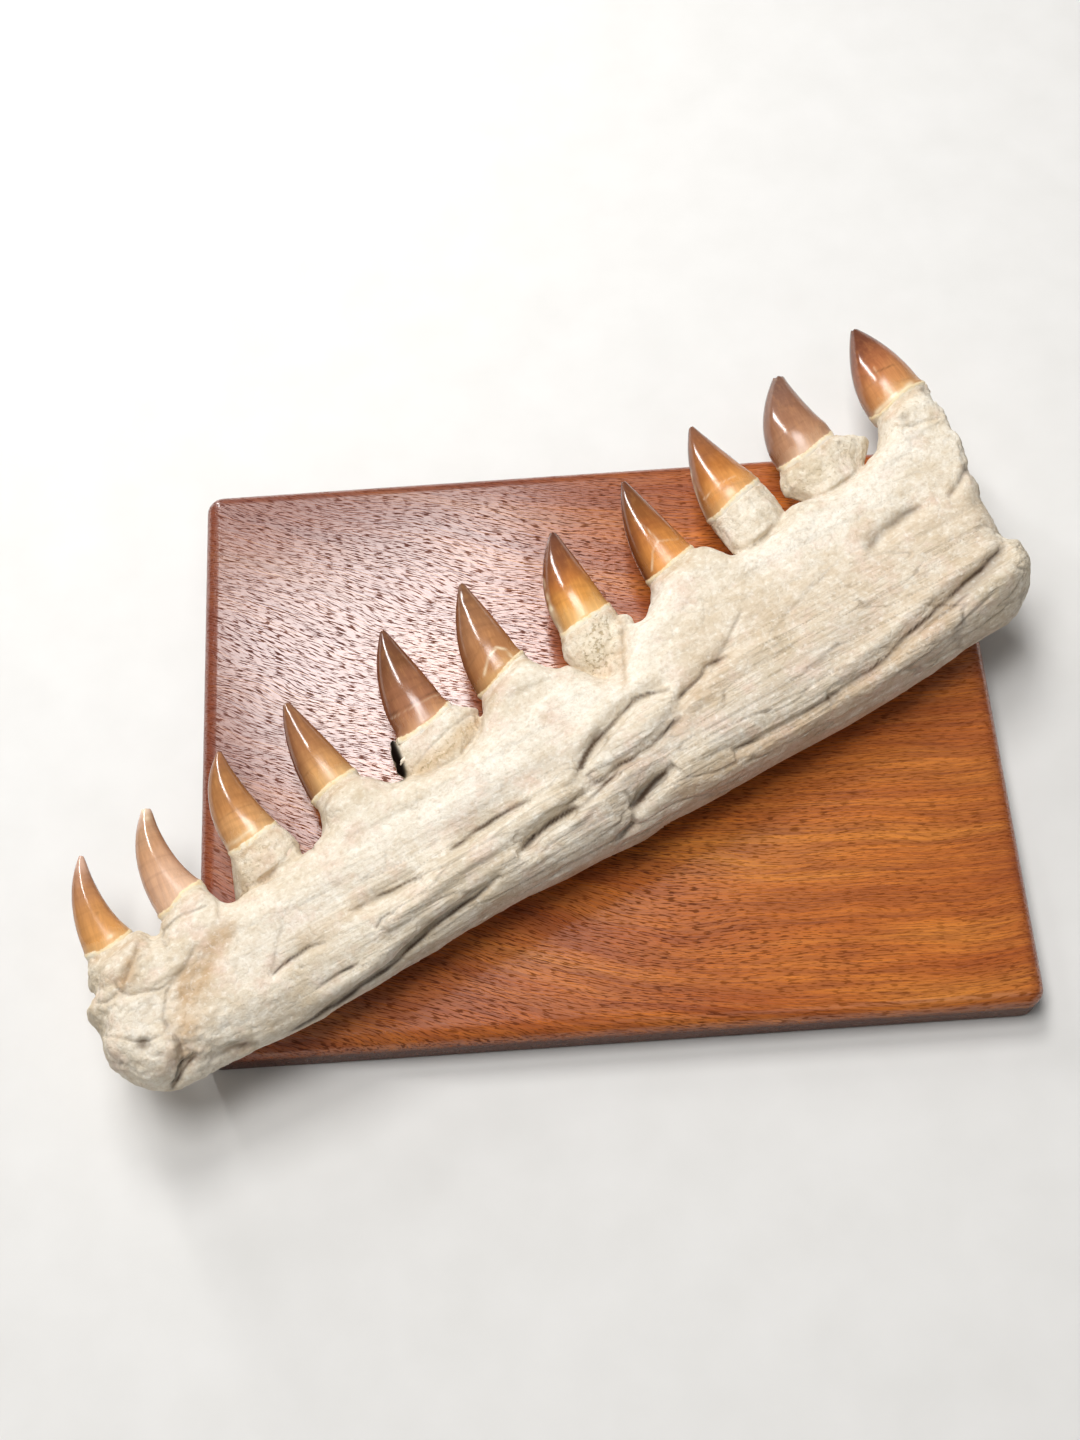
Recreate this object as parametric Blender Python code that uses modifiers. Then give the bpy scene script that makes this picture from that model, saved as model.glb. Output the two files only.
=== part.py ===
"""Fossil mosasaur jaw: a broken lower jaw half with eleven teeth, lying on a wooden display board.

Lengths are in metres. The board lies flat on its underside, centred on the origin.
The jaw has axes of its own, in millimetres: s runs along it from the snout to the broken rear
end, h runs from its lower border to the teeth, and z is the height over the board's underside.
"""

import math

import bmesh
import bpy
import numpy as np
from mathutils import Matrix, Vector
from mathutils.geometry import delaunay_2d_cdt

MM = 0.001
GAP = 0.3
SOCKET_ROOM = 0.4

# Display board
BOARD_LENGTH = 305.0
BOARD_WIDTH = 235.0
BOARD_THICKNESS = 19.0
BOARD_CORNER = 7.0
BOARD_TOP_EDGE = 6.0
BOARD_FOOT_EDGE = 1.2

# How the jaw lies: its own axes are turned on the board about the place where s and h are zero
JAW_TURN = math.radians(26.1)
JAW_PLACE = (-169.1, -142.9)

# Bone thickness: the tooth row's plane, and the swell of the bone in front of it and behind it
MID_PLANE = 39.0
REST_PLANE = BOARD_THICKNESS + GAP
SWELL_ALONG = (0.0, 30.0, 60.0, 150.0, 250.0, 340.0, 400.0)
SWELL_OUTER = (14.0, 15.5, 14.5, 17.5, 18.5, 18.0, 16.0)
SWELL_INNER = (11.0, 15.0, 19.0, 21.0, 21.0, 20.0, 16.0)
CREST = 85.0
OUTER_TAPER = 0.26
INNER_TAPER = 0.35
BORDER_RADIUS = 20.0
CREST_RADIUS = 8.0
BREAK_BEGINS = 372.0
BREAK_LENGTH = 20.0
BREAK_SHARPNESS = 0.5

# Outline of the bone, as (s, h), from the foot of the chin round the snout and the tooth row
SNOUT = [(18, 3), (11, 6.5), (6, 11.5), (3, 16), (1.2, 21), (1.2, 25), (2.5, 30), (3.6, 33),
         (2.4, 37), (1.2, 40.5), (2.5, 42.5), (5.8, 44.8), (7.6, 46.6), (6.3, 50), (8.5, 54)]
TOOTH_ROW = [(10.2, 58), (18, 59), (27, 60), (30.5, 59.8), (32.8, 57.5), (33.4, 54.8), (35, 53.6),
             (36.8, 55.4), (39, 59), (47, 61), (55.5, 63), (58.4, 60.5), (60.5, 56), (63, 53.2),
             (66.5, 53.2), (71, 54.5), (80, 54), (90, 56), (96, 57), (100.5, 58.5), (103.8, 61),
             (106, 67), (111, 71.5), (118, 73), (124, 73), (128, 70.5), (132, 65.8), (136, 63.2),
             (140, 63.5), (147, 61.5), (158, 61), (166, 63), (172, 68), (176.8, 73.5), (179.5, 78),
             (186, 82), (193, 84), (199.5, 85), (201.8, 81.5), (205, 77), (209, 72.8), (213, 73),
             (217, 66.5), (223, 61), (228, 63), (234, 70.5), (240, 75.5), (246, 74.8), (251, 77.5),
             (255, 81.5), (258.5, 86.5), (270, 89), (279.5, 91), (285, 88.5), (288, 84.5), (290, 81.8),
             (295, 81), (305, 81.5), (313, 84.5), (320, 88), (326, 88), (334, 86), (348, 86.5),
             (358, 90), (363.5, 92.6), (367, 94.2), (370.5, 98.5), (374, 103), (381, 105.5),
             (388, 107), (393.5, 106.5)]
REAR_BREAK = [(395.8, 102.5), (396.3, 97.5), (396.6, 92), (395.2, 84), (396.4, 79), (394.2, 74.5),
              (392.2, 69), (389.9, 64.5), (389.6, 59), (387.2, 54), (385.7, 49), (386.1, 44.5),
              (385.4, 41), (384, 34.4), (387.4, 32.4), (389, 30), (388.2, 27), (387.4, 22.5), (386, 18.5)]
LOWER_BORDER = [(382.5, 14.4), (377.5, 10.6), (372.5, 7.8), (365, 6), (350, 5), (335, 4), (322, 2.6),
                (300, 1.8), (270, 1.6), (240, 1.6), (215, 1.8), (202, 1), (185, 2), (160, 2.8),
                (130, 2.8), (110, 1.8), (90, 0.6), (70, 0.6), (50, 1.6), (34, 2.8), (26, 2.6)]

# Lasting forms of the outer face, as (points, half width, depth): hollows are deep, rolls negative
HOLLOWS = [
    ([(33, 23), (44, 31), (56, 39)], 5.0, 1.3),
    ([(64, 18), (72, 21), (85, 20)], 1.8, 1.2),
    ([(72, 1), (99, 2), (119, 6), (132, 8), (148, 11)], 1.8, 1.8),
    ([(103, 24), (114, 24.5), (124, 24)], 2.6, 1.8),
    ([(144, 28.5), (156, 30), (167, 29.5)], 2.8, 2.0),
    ([(163, 15.5), (170, 18), (178, 19), (189, 20)], 2.0, 2.4),
    ([(192, 33), (203, 37.5), (212, 41), (220, 44), (229, 45), (237, 42.5)], 2.4, 2.0),
    ([(187, 23.5), (210, 24.5), (222, 27.5), (234, 30.5), (242, 37), (252, 41.5), (266, 43)], 2.2, 1.8),
    ([(198, 8), (206, 10.5), (213, 13), (222, 18)], 3.6, 2.6),
    ([(246, 9), (266, 9), (290, 10), (307, 12), (320, 15), (339, 20.5), (358, 22.5), (375, 25)], 2.2, 2.2),
    ([(337, 54.5), (349, 57), (359, 58.5)], 3.4, 1.8),
    ([(17, 2), (23, 3.5), (26, 7), (27, 12), (26, 20)], 1.8, 2.4),
    ([(15.8, 17.5), (16, 17.6)], 2.2, 1.8),
]
ROLLS = [
    ([(6, 24), (14, 13), (21, 12)], 9.0, 2.6),
    ([(6, 41), (14, 42), (24, 48)], 5.0, 1.6),
    ([(80, -1), (105, 0), (130, 3), (160, 7), (195, 8)], 6.0, 2.2),
    ([(110, 14), (150, 20), (190, 28), (215, 34), (236, 38)], 5.0, 1.8),
    ([(230, 3), (270, 4), (300, 6), (330, 10), (360, 14), (380, 20)], 6.0, 3.0),
]

# Teeth, from the snout. Each outline gives the crown's front edge (foot, bow, tip) and its rear
# edge (tip, bow, foot), then the exposed root's edges, front and rear, from the crown downwards.
TEETH = [
    ([(10, 61.3), (10.8, 84.5), (22.4, 97.8)], [(24, 96.5), (22.4, 76), (27.5, 63.5)], []),
    ([(38.6, 62), (35.8, 87.5), (48.4, 103)], [(51.9, 101.5), (50.6, 80), (57.2, 66.5)], []),
    ([(70.5, 72.5), (68.5, 95), (83.2, 109.6)], [(85, 108.5), (85.5, 92), (90.5, 74)],
     [((70.2, 66), (92, 68)), ((69.5, 59), (94, 61.5)), ((70.5, 54), (93, 56))]),
    ([(105.3, 74), (104.5, 96), (113.2, 114.3)], [(116.2, 114), (120.5, 97), (124.8, 77.5)], []),
    ([(144.5, 81), (144, 103), (158.5, 123)], [(160.8, 122.8), (164.3, 104), (167, 85)],
     [((140.5, 75), (170.5, 79)), ((137.5, 67.5), (175.5, 75.5)), ((141, 61.5), (172, 67)),
      ((146, 57), (164, 60))]),
    ([(178.5, 81), (178, 104), (193.8, 125.3)], [(196.2, 125.5), (199.3, 107), (201, 89)], []),
    ([(218, 88), (217.5, 109), (235.3, 128)], [(238, 126.5), (239.5, 108), (240, 90.5)],
     [((216, 82), (241, 85)), ((214, 77), (240.5, 79.5)), ((215.5, 71), (236, 74)),
      ((219, 65), (231, 67)), ((221, 60.5), (227, 61.5))]),
    ([(257.8, 90), (258.6, 114), (271.3, 133.2)], [(273.5, 133), (277, 114), (280.3, 94.3)], []),
    ([(292.3, 100), (294, 122), (308.3, 141.3)], [(310.8, 141.5), (313.5, 125), (318.6, 107.5)],
     [((293, 94), (319.3, 99)), ((292.8, 86), (320, 91)), ((294.2, 80), (318, 84))]),
    ([(329, 107), (328, 127), (348, 144.8)], [(353, 143.5), (352.5, 127), (356, 112)],
     [((328, 103.5), (356.8, 105)), ((325, 99), (366.8, 100.2)), ((324.5, 95), (363, 95.5)),
      ((328, 90.5), (359, 92.5)), ((331, 84.5), (354, 86.5))]),
    ([(373.6, 108), (373, 127), (388.8, 147.8)], [(392.4, 147.5), (399.3, 131), (399.8, 112)], []),
]
TOOTH_PLANE = 40.0
TOOTH_DEPTH = 0.74
TIP_SWEEP = 3.0
STUB_DROPS = (10.0, 0.6)
STUB_WIDTH = 0.62

# Bony collars that rise to the crowns of the teeth with no exposed root: as (drop below the
# crown's foot, how far they stand out beyond it)
COLLAR_RINGS = ((0.5, 0.3), (4.0, 0.6), (12.0, -3.0))
CROWN_RINGS = 7
TOOTH_SIDES = 12

# A hollow left in the front of the fifth tooth's root: centre, half sizes and lean
PITTED_TOOTH = 5
ROOT_PIT = (139.4, 74.0, 45.5)
ROOT_PIT_SIZE = (3.4, 8.0, 7.5)
ROOT_PIT_LEAN = math.radians(-22.0)

# How finely the bone is drawn, and how many of its facets are kept
OUTLINE_STEP = 1.6
GRID_STEP = 2.2
EDGE_ROWS = (0.25, 0.9, 2.0, 3.6)
EDGE_ROOM = 0.97
GRID_ROOM = 4.7
RELIEF_FADE = 2.5
SKIN_SIZE = 1.4
KEPT_FACETS = 0.048
ON_RIM = 0.001

SHARP_ANGLE = math.radians(40.0)


def clear_scene():
    for old in list(bpy.data.objects):
        bpy.data.objects.remove(old, do_unlink=True)


def collection(name):
    made = bpy.data.collections.new(name)
    bpy.context.scene.collection.children.link(made)
    return made


def material(name, colour, roughness):
    made = bpy.data.materials.new(name)
    made.use_nodes = True
    shader = made.node_tree.nodes["Principled BSDF"]
    shader.inputs["Base Color"].default_value = (*colour, 1.0)
    shader.inputs["Roughness"].default_value = roughness
    shader.inputs["Metallic"].default_value = 0.0
    return made


def add_object(name, mesh, into, finish=None):
    made = bpy.data.objects.new(name, mesh)
    into.objects.link(made)
    if finish:
        mesh.materials.append(finish)
    return made


def jaw_to_board():
    """Takes jaw places (s, h, z) in millimetres to the board's frame in metres."""
    turn = Matrix.Rotation(JAW_TURN, 4, "Z")
    place = Matrix.Translation(Vector((*JAW_PLACE, 0.0)))
    return Matrix.Scale(MM, 4) @ place @ turn


def shade(mesh):
    mesh.shade_smooth()
    mesh.set_sharp_from_angle(angle=SHARP_ANGLE)


def mesh_from(name, points, faces):
    mesh = bpy.data.meshes.new(name)
    mesh.from_pydata([tuple(point) for point in points], [], faces)
    mesh.transform(jaw_to_board())
    mesh.update()
    shade(mesh)
    return mesh


def build_board(into):
    """One plank, with rounded corners, a softly rounded upper edge and an eased foot."""
    bpy.ops.mesh.primitive_cube_add(size=1.0, location=(0.0, 0.0, BOARD_THICKNESS * MM / 2))
    board = bpy.context.object
    board.name = board.data.name = "display_board"
    board.scale = (BOARD_LENGTH * MM, BOARD_WIDTH * MM, BOARD_THICKNESS * MM)
    bpy.ops.object.transform_apply(location=True, rotation=True, scale=True)
    form = bmesh.new()
    form.from_mesh(board.data)

    close = 0.001 * MM

    def round_over(edges, radius, segments):
        bmesh.ops.bevel(form, geom=edges, offset=radius * MM, segments=segments, profile=0.5,
                        affect="EDGES", clamp_overlap=True)

    def level_edges(height):
        return [edge for edge in form.edges
                if all(abs(vert.co.z - height * MM) < close for vert in edge.verts)]

    round_over([edge for edge in form.edges if abs(edge.verts[0].co.z - edge.verts[1].co.z) > close],
               BOARD_CORNER, 4)
    round_over(level_edges(BOARD_THICKNESS), BOARD_TOP_EDGE, 4)
    round_over(level_edges(0.0), BOARD_FOOT_EDGE, 1)
    form.to_mesh(board.data)
    form.free()
    shade(board.data)
    for holder in list(board.users_collection):
        holder.objects.unlink(board)
    into.objects.link(board)
    board.data.materials.append(material("board_wood", (0.23, 0.085, 0.04), 0.25))
    return board


def smooth_loop(points, step):
    """Evenly spaced points on a closed curve that passes through the given ones."""
    knots = np.array(points, float)
    before, after, beyond = np.roll(knots, 1, 0), np.roll(knots, -1, 0), np.roll(knots, -2, 0)
    dense = []
    for part in np.linspace(0.0, 1.0, 12, endpoint=False):
        dense.append(0.5 * (2 * knots + (after - before) * part
                            + (2 * before - 5 * knots + 4 * after - beyond) * part ** 2
                            + (3 * knots - before - 3 * after + beyond) * part ** 3))
    dense = np.stack(dense, 1).reshape(-1, 2)
    closed = np.vstack([dense, dense[:1]])
    run = np.concatenate([[0.0], np.cumsum(np.linalg.norm(np.diff(closed, axis=0), axis=1))])
    at = np.linspace(0.0, run[-1], int(run[-1] / step), endpoint=False)
    return np.stack([np.interp(at, run, closed[:, axis]) for axis in (0, 1)], 1)


def distance_to_path(places, path, closed=False):
    """Distance from each place to the nearest of a path's stretches."""
    path = np.array(path, float)
    ends = np.roll(path, -1, 0) if closed else path[1:]
    best = np.full(len(places), np.inf)
    for start, end in zip(path, ends):
        along = end - start
        part = np.clip((places - start) @ along / max(along @ along, 1e-9), 0.0, 1.0)
        best = np.minimum(best, np.linalg.norm(places - start - part[:, None] * along, axis=1))
    return best


def relief(places):
    """Height of the outer face over its plain swell: rolls stand up, hollows sink."""
    rise = np.zeros(len(places))
    for path, half_width, height in ROLLS:
        rise += height * np.exp(-(distance_to_path(places, path) / half_width) ** 2)
    for path, half_width, depth in HOLLOWS:
        rise -= depth * np.exp(-(distance_to_path(places, path) / half_width) ** 2)
    return rise


def swell(places, edge_distance):
    """The bone's outer and inner half thickness at each place, none at its outline."""
    s, h = places[:, 0], places[:, 1]
    share = np.clip(h / CREST, 0.0, 1.0)
    broken = np.clip((s - BREAK_BEGINS) / BREAK_LENGTH, 0.0, 1.0)
    edge_radius = (BORDER_RADIUS + (CREST_RADIUS - BORDER_RADIUS) * share) * (1.0 - BREAK_SHARPNESS * broken)
    rounding = np.sqrt(1.0 - (1.0 - np.clip(edge_distance / edge_radius, 0.0, 1.0)) ** 2)
    outer = np.interp(s, SWELL_ALONG, SWELL_OUTER) * (1.0 - OUTER_TAPER * share ** 1.5) * rounding
    inner = np.interp(s, SWELL_ALONG, SWELL_INNER) * (1.0 - INNER_TAPER * share ** 2) * rounding
    return outer, inner


def filled_outline(loop):
    """The outline filled with triangles: rows of places along the rim, and an even grid inside."""
    heading = np.roll(loop, -1, 0) - np.roll(loop, 1, 0)
    heading /= np.linalg.norm(heading, axis=1)[:, None]
    inward = np.stack([heading[:, 1], -heading[:, 0]], 1)
    corners = [loop]
    for row in EDGE_ROWS:
        places = loop + inward * row
        corners.append(places[distance_to_path(places, loop, True) > row * EDGE_ROOM])
    low, high = loop.min(0), loop.max(0)
    for index, h in enumerate(np.arange(low[1], high[1], GRID_STEP * math.sqrt(0.75))):
        s = np.arange(low[0] + (index % 2) * GRID_STEP / 2, high[0], GRID_STEP)
        places = np.stack([s, np.full(len(s), h)], 1)
        corners.append(places[distance_to_path(places, loop, True) > GRID_ROOM])
    rim = [(index, (index + 1) % len(loop)) for index in range(len(loop))]
    corners = [Vector(place) for place in np.vstack(corners)]
    flat, _, sheet, _, _, _ = delaunay_2d_cdt(corners, rim, [], 1, 1e-5)
    return np.array([tuple(place) for place in flat]), sheet


def bone_blank():
    """The bone as two swelling sheets that meet along its outline."""
    loop = smooth_loop(SNOUT + TOOTH_ROW + REAR_BREAK + LOWER_BORDER, OUTLINE_STEP)
    places, sheet = filled_outline(loop)
    edge_distance = distance_to_path(places, loop, True)
    on_rim = edge_distance < ON_RIM
    outer, inner = swell(places, edge_distance)
    outer += relief(places) * np.clip(edge_distance / RELIEF_FADE, 0.0, 1.0)
    front = np.column_stack([places, MID_PLANE + outer])
    back = np.column_stack([places, np.maximum(MID_PLANE - inner, REST_PLANE)])
    behind = np.cumsum(~on_rim) - 1 + len(places)
    partner = np.where(on_rim, np.arange(len(places)), behind)
    points = np.vstack([front, back[~on_rim]])
    faces = [tuple(face) for face in sheet]
    faces += [tuple(int(partner[index]) for index in reversed(face)) for face in sheet]
    return mesh_from("jaw_bone", points, faces)


def edge_point(edge, part):
    """A point on a crown's bowed edge, from its foot to its tip."""
    foot, bow, tip = (Vector(place) for place in edge)
    return foot * (1 - part) ** 2 + bow * 2 * part * (1 - part) + tip * part ** 2


def downwards(front, rear):
    """The way into the bone, square to a tooth's ring."""
    half = rear - front
    return Vector((half.y, -half.x)).normalized()


def tooth_rings(front_edge, rear_edge, root):
    """The tooth's rings from root to tip, each as (front point, rear point, half depth)."""
    foot_front, foot_rear = Vector(front_edge[0]), Vector(rear_edge[-1])
    root_depth = (foot_rear - foot_front).length / 2 * TOOTH_DEPTH
    crown = []
    for index in range(CROWN_RINGS + 1):
        part = index / CROWN_RINGS
        front, rear = edge_point(front_edge, part), edge_point(rear_edge[::-1], part)
        crown.append((front, rear, (rear - front).length / 2 * TOOTH_DEPTH))
    exposed = []
    for front, rear in root:
        front, rear = Vector(front), Vector(rear)
        exposed.append((front, rear, min(root_depth, (rear - front).length / 2)))
    front, rear, depth = exposed[-1] if exposed else crown[0]
    half, down = (rear - front) / 2 * STUB_WIDTH, downwards(front, rear)
    middles = [(front + rear) / 2 + down * drop for drop in STUB_DROPS]
    stub = [(middle - half, middle + half, depth * STUB_WIDTH) for middle in middles]
    return stub + exposed[::-1] + crown


def ring_points(front, rear, half_depth, height):
    """An oval ring that stands square on the plane of the tooth row."""
    middle, half = (front + rear) / 2, (rear - front) / 2
    points = []
    for side in range(TOOTH_SIDES):
        angle = 2 * math.pi * side / TOOTH_SIDES
        place = middle + half * math.cos(angle)
        points.append((place.x, place.y, height + half_depth * math.sin(angle)))
    return points


def loft(name, rings):
    """A closed skin over rings of points, from the lowest to the highest."""
    last = len(rings) - 1
    faces = []
    for ring in range(last):
        for side in range(TOOTH_SIDES):
            here = ring * TOOTH_SIDES + side
            beside = ring * TOOTH_SIDES + (side + 1) % TOOTH_SIDES
            faces.append((here, here + TOOTH_SIDES, beside + TOOTH_SIDES, beside))
    faces.append(tuple(range(TOOTH_SIDES)))
    faces.append(tuple(range(last * TOOTH_SIDES, (last + 1) * TOOTH_SIDES))[::-1])
    return mesh_from(name, [point for ring in rings for point in ring], faces)


def tooth_mesh(name, outline):
    """A closed tooth of oval rings, whose tip sweeps a little towards the board."""
    rings = tooth_rings(*outline)
    crown_foot = len(rings) - 1 - CROWN_RINGS
    skin = []
    for index, (front, rear, half_depth) in enumerate(rings):
        part = max(0.0, (index - crown_foot) / CROWN_RINGS)
        skin.append(ring_points(front, rear, half_depth, TOOTH_PLANE - TIP_SWEEP * part ** 2))
    return loft(name, skin)


def collar_mesh(name, outline):
    """A bony collar: oval rings from the crown's foot down into the bone."""
    front, rear = Vector(outline[0][0]), Vector(outline[1][-1])
    middle, half, down = (front + rear) / 2, (rear - front) / 2, downwards(front, rear)
    skin = []
    for drop, spread in reversed(COLLAR_RINGS):
        centre = middle + down * drop
        reach = half + half.normalized() * spread
        skin.append(ring_points(centre - reach, centre + reach, reach.length * TOOTH_DEPTH, TOOTH_PLANE))
    return loft(name, skin)


def hide_cutter(cutter):
    cutter.hide_render = True
    cutter.display_type = "WIRE"


def add_boolean(target, name, operation, group):
    step = target.modifiers.new(name, "BOOLEAN")
    step.operation = operation
    step.operand_type = "COLLECTION"
    step.collection = group
    step.solver = "EXACT"


def build_bone(into, collars, sockets):
    """The bone: blank and collars made one, eased, drawn with few facets, then cut for the teeth."""
    bone = add_object("jaw_bone", bone_blank(), into, material("bone", (0.72, 0.66, 0.56), 0.6))
    for number, outline in enumerate(TEETH, 1):
        if not outline[2]:
            hide_cutter(add_object(f"collar_{number:02d}", collar_mesh("collar", outline), collars))
        socket = add_object(f"socket_{number:02d}", tooth_mesh("socket", outline), sockets)
        room = socket.modifiers.new("room", "DISPLACE")
        room.mid_level = 0.0
        room.strength = SOCKET_ROOM * MM
        hide_cutter(socket)
    add_boolean(bone, "collars", "UNION", collars)
    skin = bone.modifiers.new("skin", "REMESH")
    skin.mode = "VOXEL"
    skin.voxel_size = SKIN_SIZE * MM
    skin.use_smooth_shade = True
    ease = bone.modifiers.new("ease", "SMOOTH")
    ease.factor = 0.5
    ease.iterations = 2
    facets = bone.modifiers.new("facets", "DECIMATE")
    facets.ratio = KEPT_FACETS
    add_boolean(bone, "sockets", "DIFFERENCE", sockets)
    return bone


def root_pit(into):
    """The egg-shaped cutter of the hollow in the fifth tooth's root."""
    pit = bpy.data.meshes.new("root_pit")
    form = bmesh.new()
    bmesh.ops.create_uvsphere(form, u_segments=12, v_segments=8, radius=1.0)
    form.transform(Matrix.Translation(Vector(ROOT_PIT)) @ Matrix.Rotation(ROOT_PIT_LEAN, 4, "Z")
                   @ Matrix.Diagonal((*ROOT_PIT_SIZE, 1.0)))
    form.to_mesh(pit)
    form.free()
    pit.transform(jaw_to_board())
    hide_cutter(add_object("root_pit", pit, into))


def build_teeth(into, pits):
    """The teeth, each one crown and root, and the hollow in the root of one."""
    root_pit(pits)
    for number, outline in enumerate(TEETH, 1):
        name = f"tooth_{number:02d}"
        tooth = add_object(name, tooth_mesh(name, outline), into, material(name, (0.5, 0.25, 0.1), 0.3))
        if number == PITTED_TOOTH:
            add_boolean(tooth, "pit", "DIFFERENCE", pits)


clear_scene()
jaw_parts = collection("fossil_mosasaur_jaw")
build_board(jaw_parts)
build_bone(jaw_parts, collection("collars"), collection("sockets"))
build_teeth(jaw_parts, collection("pits"))
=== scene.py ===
import itertools
import math

import bmesh
import bpy
import numpy as np
from mathutils import Matrix, Vector


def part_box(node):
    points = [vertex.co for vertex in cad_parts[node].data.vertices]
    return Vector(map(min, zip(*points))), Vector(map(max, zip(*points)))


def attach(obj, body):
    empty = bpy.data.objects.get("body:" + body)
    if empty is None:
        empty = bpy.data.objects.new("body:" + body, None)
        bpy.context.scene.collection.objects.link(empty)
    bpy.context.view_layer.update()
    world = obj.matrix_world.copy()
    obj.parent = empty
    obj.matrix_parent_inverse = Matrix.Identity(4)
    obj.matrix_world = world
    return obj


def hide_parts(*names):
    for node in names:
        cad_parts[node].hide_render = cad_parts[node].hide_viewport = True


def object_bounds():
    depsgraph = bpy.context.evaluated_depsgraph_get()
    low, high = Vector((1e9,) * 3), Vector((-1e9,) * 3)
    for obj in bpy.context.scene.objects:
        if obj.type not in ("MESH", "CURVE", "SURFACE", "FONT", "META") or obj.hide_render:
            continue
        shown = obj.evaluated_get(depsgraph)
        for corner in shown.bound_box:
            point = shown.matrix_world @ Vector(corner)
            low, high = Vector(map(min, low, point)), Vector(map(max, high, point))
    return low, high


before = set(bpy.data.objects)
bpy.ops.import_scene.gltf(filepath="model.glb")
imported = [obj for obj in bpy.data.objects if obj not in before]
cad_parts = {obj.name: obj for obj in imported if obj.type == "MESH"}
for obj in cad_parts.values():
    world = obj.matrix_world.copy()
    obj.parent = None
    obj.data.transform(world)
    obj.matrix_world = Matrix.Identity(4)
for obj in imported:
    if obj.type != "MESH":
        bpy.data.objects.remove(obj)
cad_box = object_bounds()
MM = 0.001


# The view. The photograph was taken from above, in front of the board's long side, with the
# camera leaning back a little, so that the jaw runs from the lower left to the upper right.
camera = bpy.data.objects.new("camera", bpy.data.cameras.new("camera"))
bpy.context.scene.collection.objects.link(camera)
camera.data.lens = 43.75
camera.data.sensor_width = 36.0
camera.location = (-0.021518, -0.271844, 0.632024)
camera.rotation_euler = [math.radians(angle) for angle in (24.3028, 1.6135, -3.5422)]
bpy.context.scene.camera = camera
bpy.context.scene.view_settings.view_transform = "Standard"


# The floor: a wide sheet of pale, matt studio card with a faint mottle. The board lies flat on it
# and throws a soft shadow there.
def node(tree, kind, inputs=(), **settings):
    """Adds a node; its inputs take values or other nodes' sockets."""
    made = tree.nodes.new(kind)
    for name, value in settings.items():
        setattr(made, name, value)
    for socket, value in dict(inputs).items():
        if isinstance(value, bpy.types.NodeSocket):
            tree.links.new(value, made.inputs[socket])
        else:
            made.inputs[socket].default_value = value
    return made


def colour(red, green, blue):
    """A colour as the eye reads it, 0 to 255, in the linear values that materials take."""
    return tuple(((part / 255 + 0.055) / 1.055) ** 2.4 if part > 10 else part / 3294.6
                 for part in (red, green, blue)) + (1.0,)


def mix(tree, factor, first, second, way="MIX"):
    """Two colours blended by a factor."""
    made = node(tree, "ShaderNodeMix", {0: factor, 6: first, 7: second}, data_type="RGBA", blend_type=way)
    return made.outputs[2]


def noise(tree, vector, scale, detail=2.0, roughness=0.5):
    made = node(tree, "ShaderNodeTexNoise", {"Vector": vector, "Scale": scale, "Detail": detail,
                                             "Roughness": roughness})
    return made.outputs["Fac"]


def object_places(tree, turn=0.0, stretch=(1.0, 1.0, 1.0)):
    """Places on the piece, turned about the upright axis and stretched along each axis."""
    places = node(tree, "ShaderNodeTexCoord").outputs["Object"]
    turned = node(tree, "ShaderNodeMapping", {"Vector": places, "Rotation": (0.0, 0.0, turn)})
    return node(tree, "ShaderNodeMapping", {"Vector": turned.outputs[0], "Scale": stretch}).outputs[0]


def new_material(name):
    made = bpy.data.materials.new(name)
    made.use_nodes = True
    return made, made.node_tree, made.node_tree.nodes["Principled BSDF"]


FLOOR_SIZE = 6.0
FLOOR_DROP = 0.0001

bpy.ops.object.select_all(action="DESELECT")
bpy.ops.mesh.primitive_plane_add(size=FLOOR_SIZE, location=(0.0, 0.0, -FLOOR_DROP))
floor = bpy.context.object
floor.name = "floor"
card, tree, shader = new_material("pale_card")
mottle = noise(tree, object_places(tree), 40.0, 3.0)
tree.links.new(mix(tree, mottle, colour(222, 220, 216), colour(232, 230, 227)), shader.inputs["Base Color"])
shader.inputs["Roughness"].default_value = 0.8
floor.data.materials.append(card)


# The light: soft studio panels. A broad one hangs above, a tall narrow one low at the upper left
# draws the streaks on the crowns, one beyond the board glazes its polished top, and a weak one
# fills in from the front.
PANEL_AIM = Vector((0.0, 0.0, 0.03))
WORLD_STRENGTH = 0.13


def panel(name, place, size, power):
    light = bpy.data.lights.new(name, "AREA")
    light.shape = "RECTANGLE"
    light.size, light.size_y = size
    light.energy = power
    lamp = bpy.data.objects.new(name, light)
    bpy.context.scene.collection.objects.link(lamp)
    lamp.location = place
    lamp.rotation_euler = (PANEL_AIM - Vector(place)).to_track_quat("-Z", "Y").to_euler()
    return lamp


broad = panel("broad_panel", (-0.3, 0.03, 1.5), (0.6, 0.6), 13.4)
broad.visible_glossy = False
panel("streak_panel", (-0.55, 0.885, 0.54), (0.08, 0.66), 4.4)
panel("glaze_panel", (-0.21, 0.66, 1.25), (0.44, 0.44), 8.6)
panel("fill_panel", (0.55, -1.1, 1.5), (1.0, 1.0), 1.5)
world = bpy.data.worlds.new("studio")
world.use_nodes = True
world.node_tree.nodes["Background"].inputs["Color"].default_value = (1.0, 1.0, 1.0, 1.0)
world.node_tree.nodes["Background"].inputs["Strength"].default_value = WORLD_STRENGTH
bpy.context.scene.world = world


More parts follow.
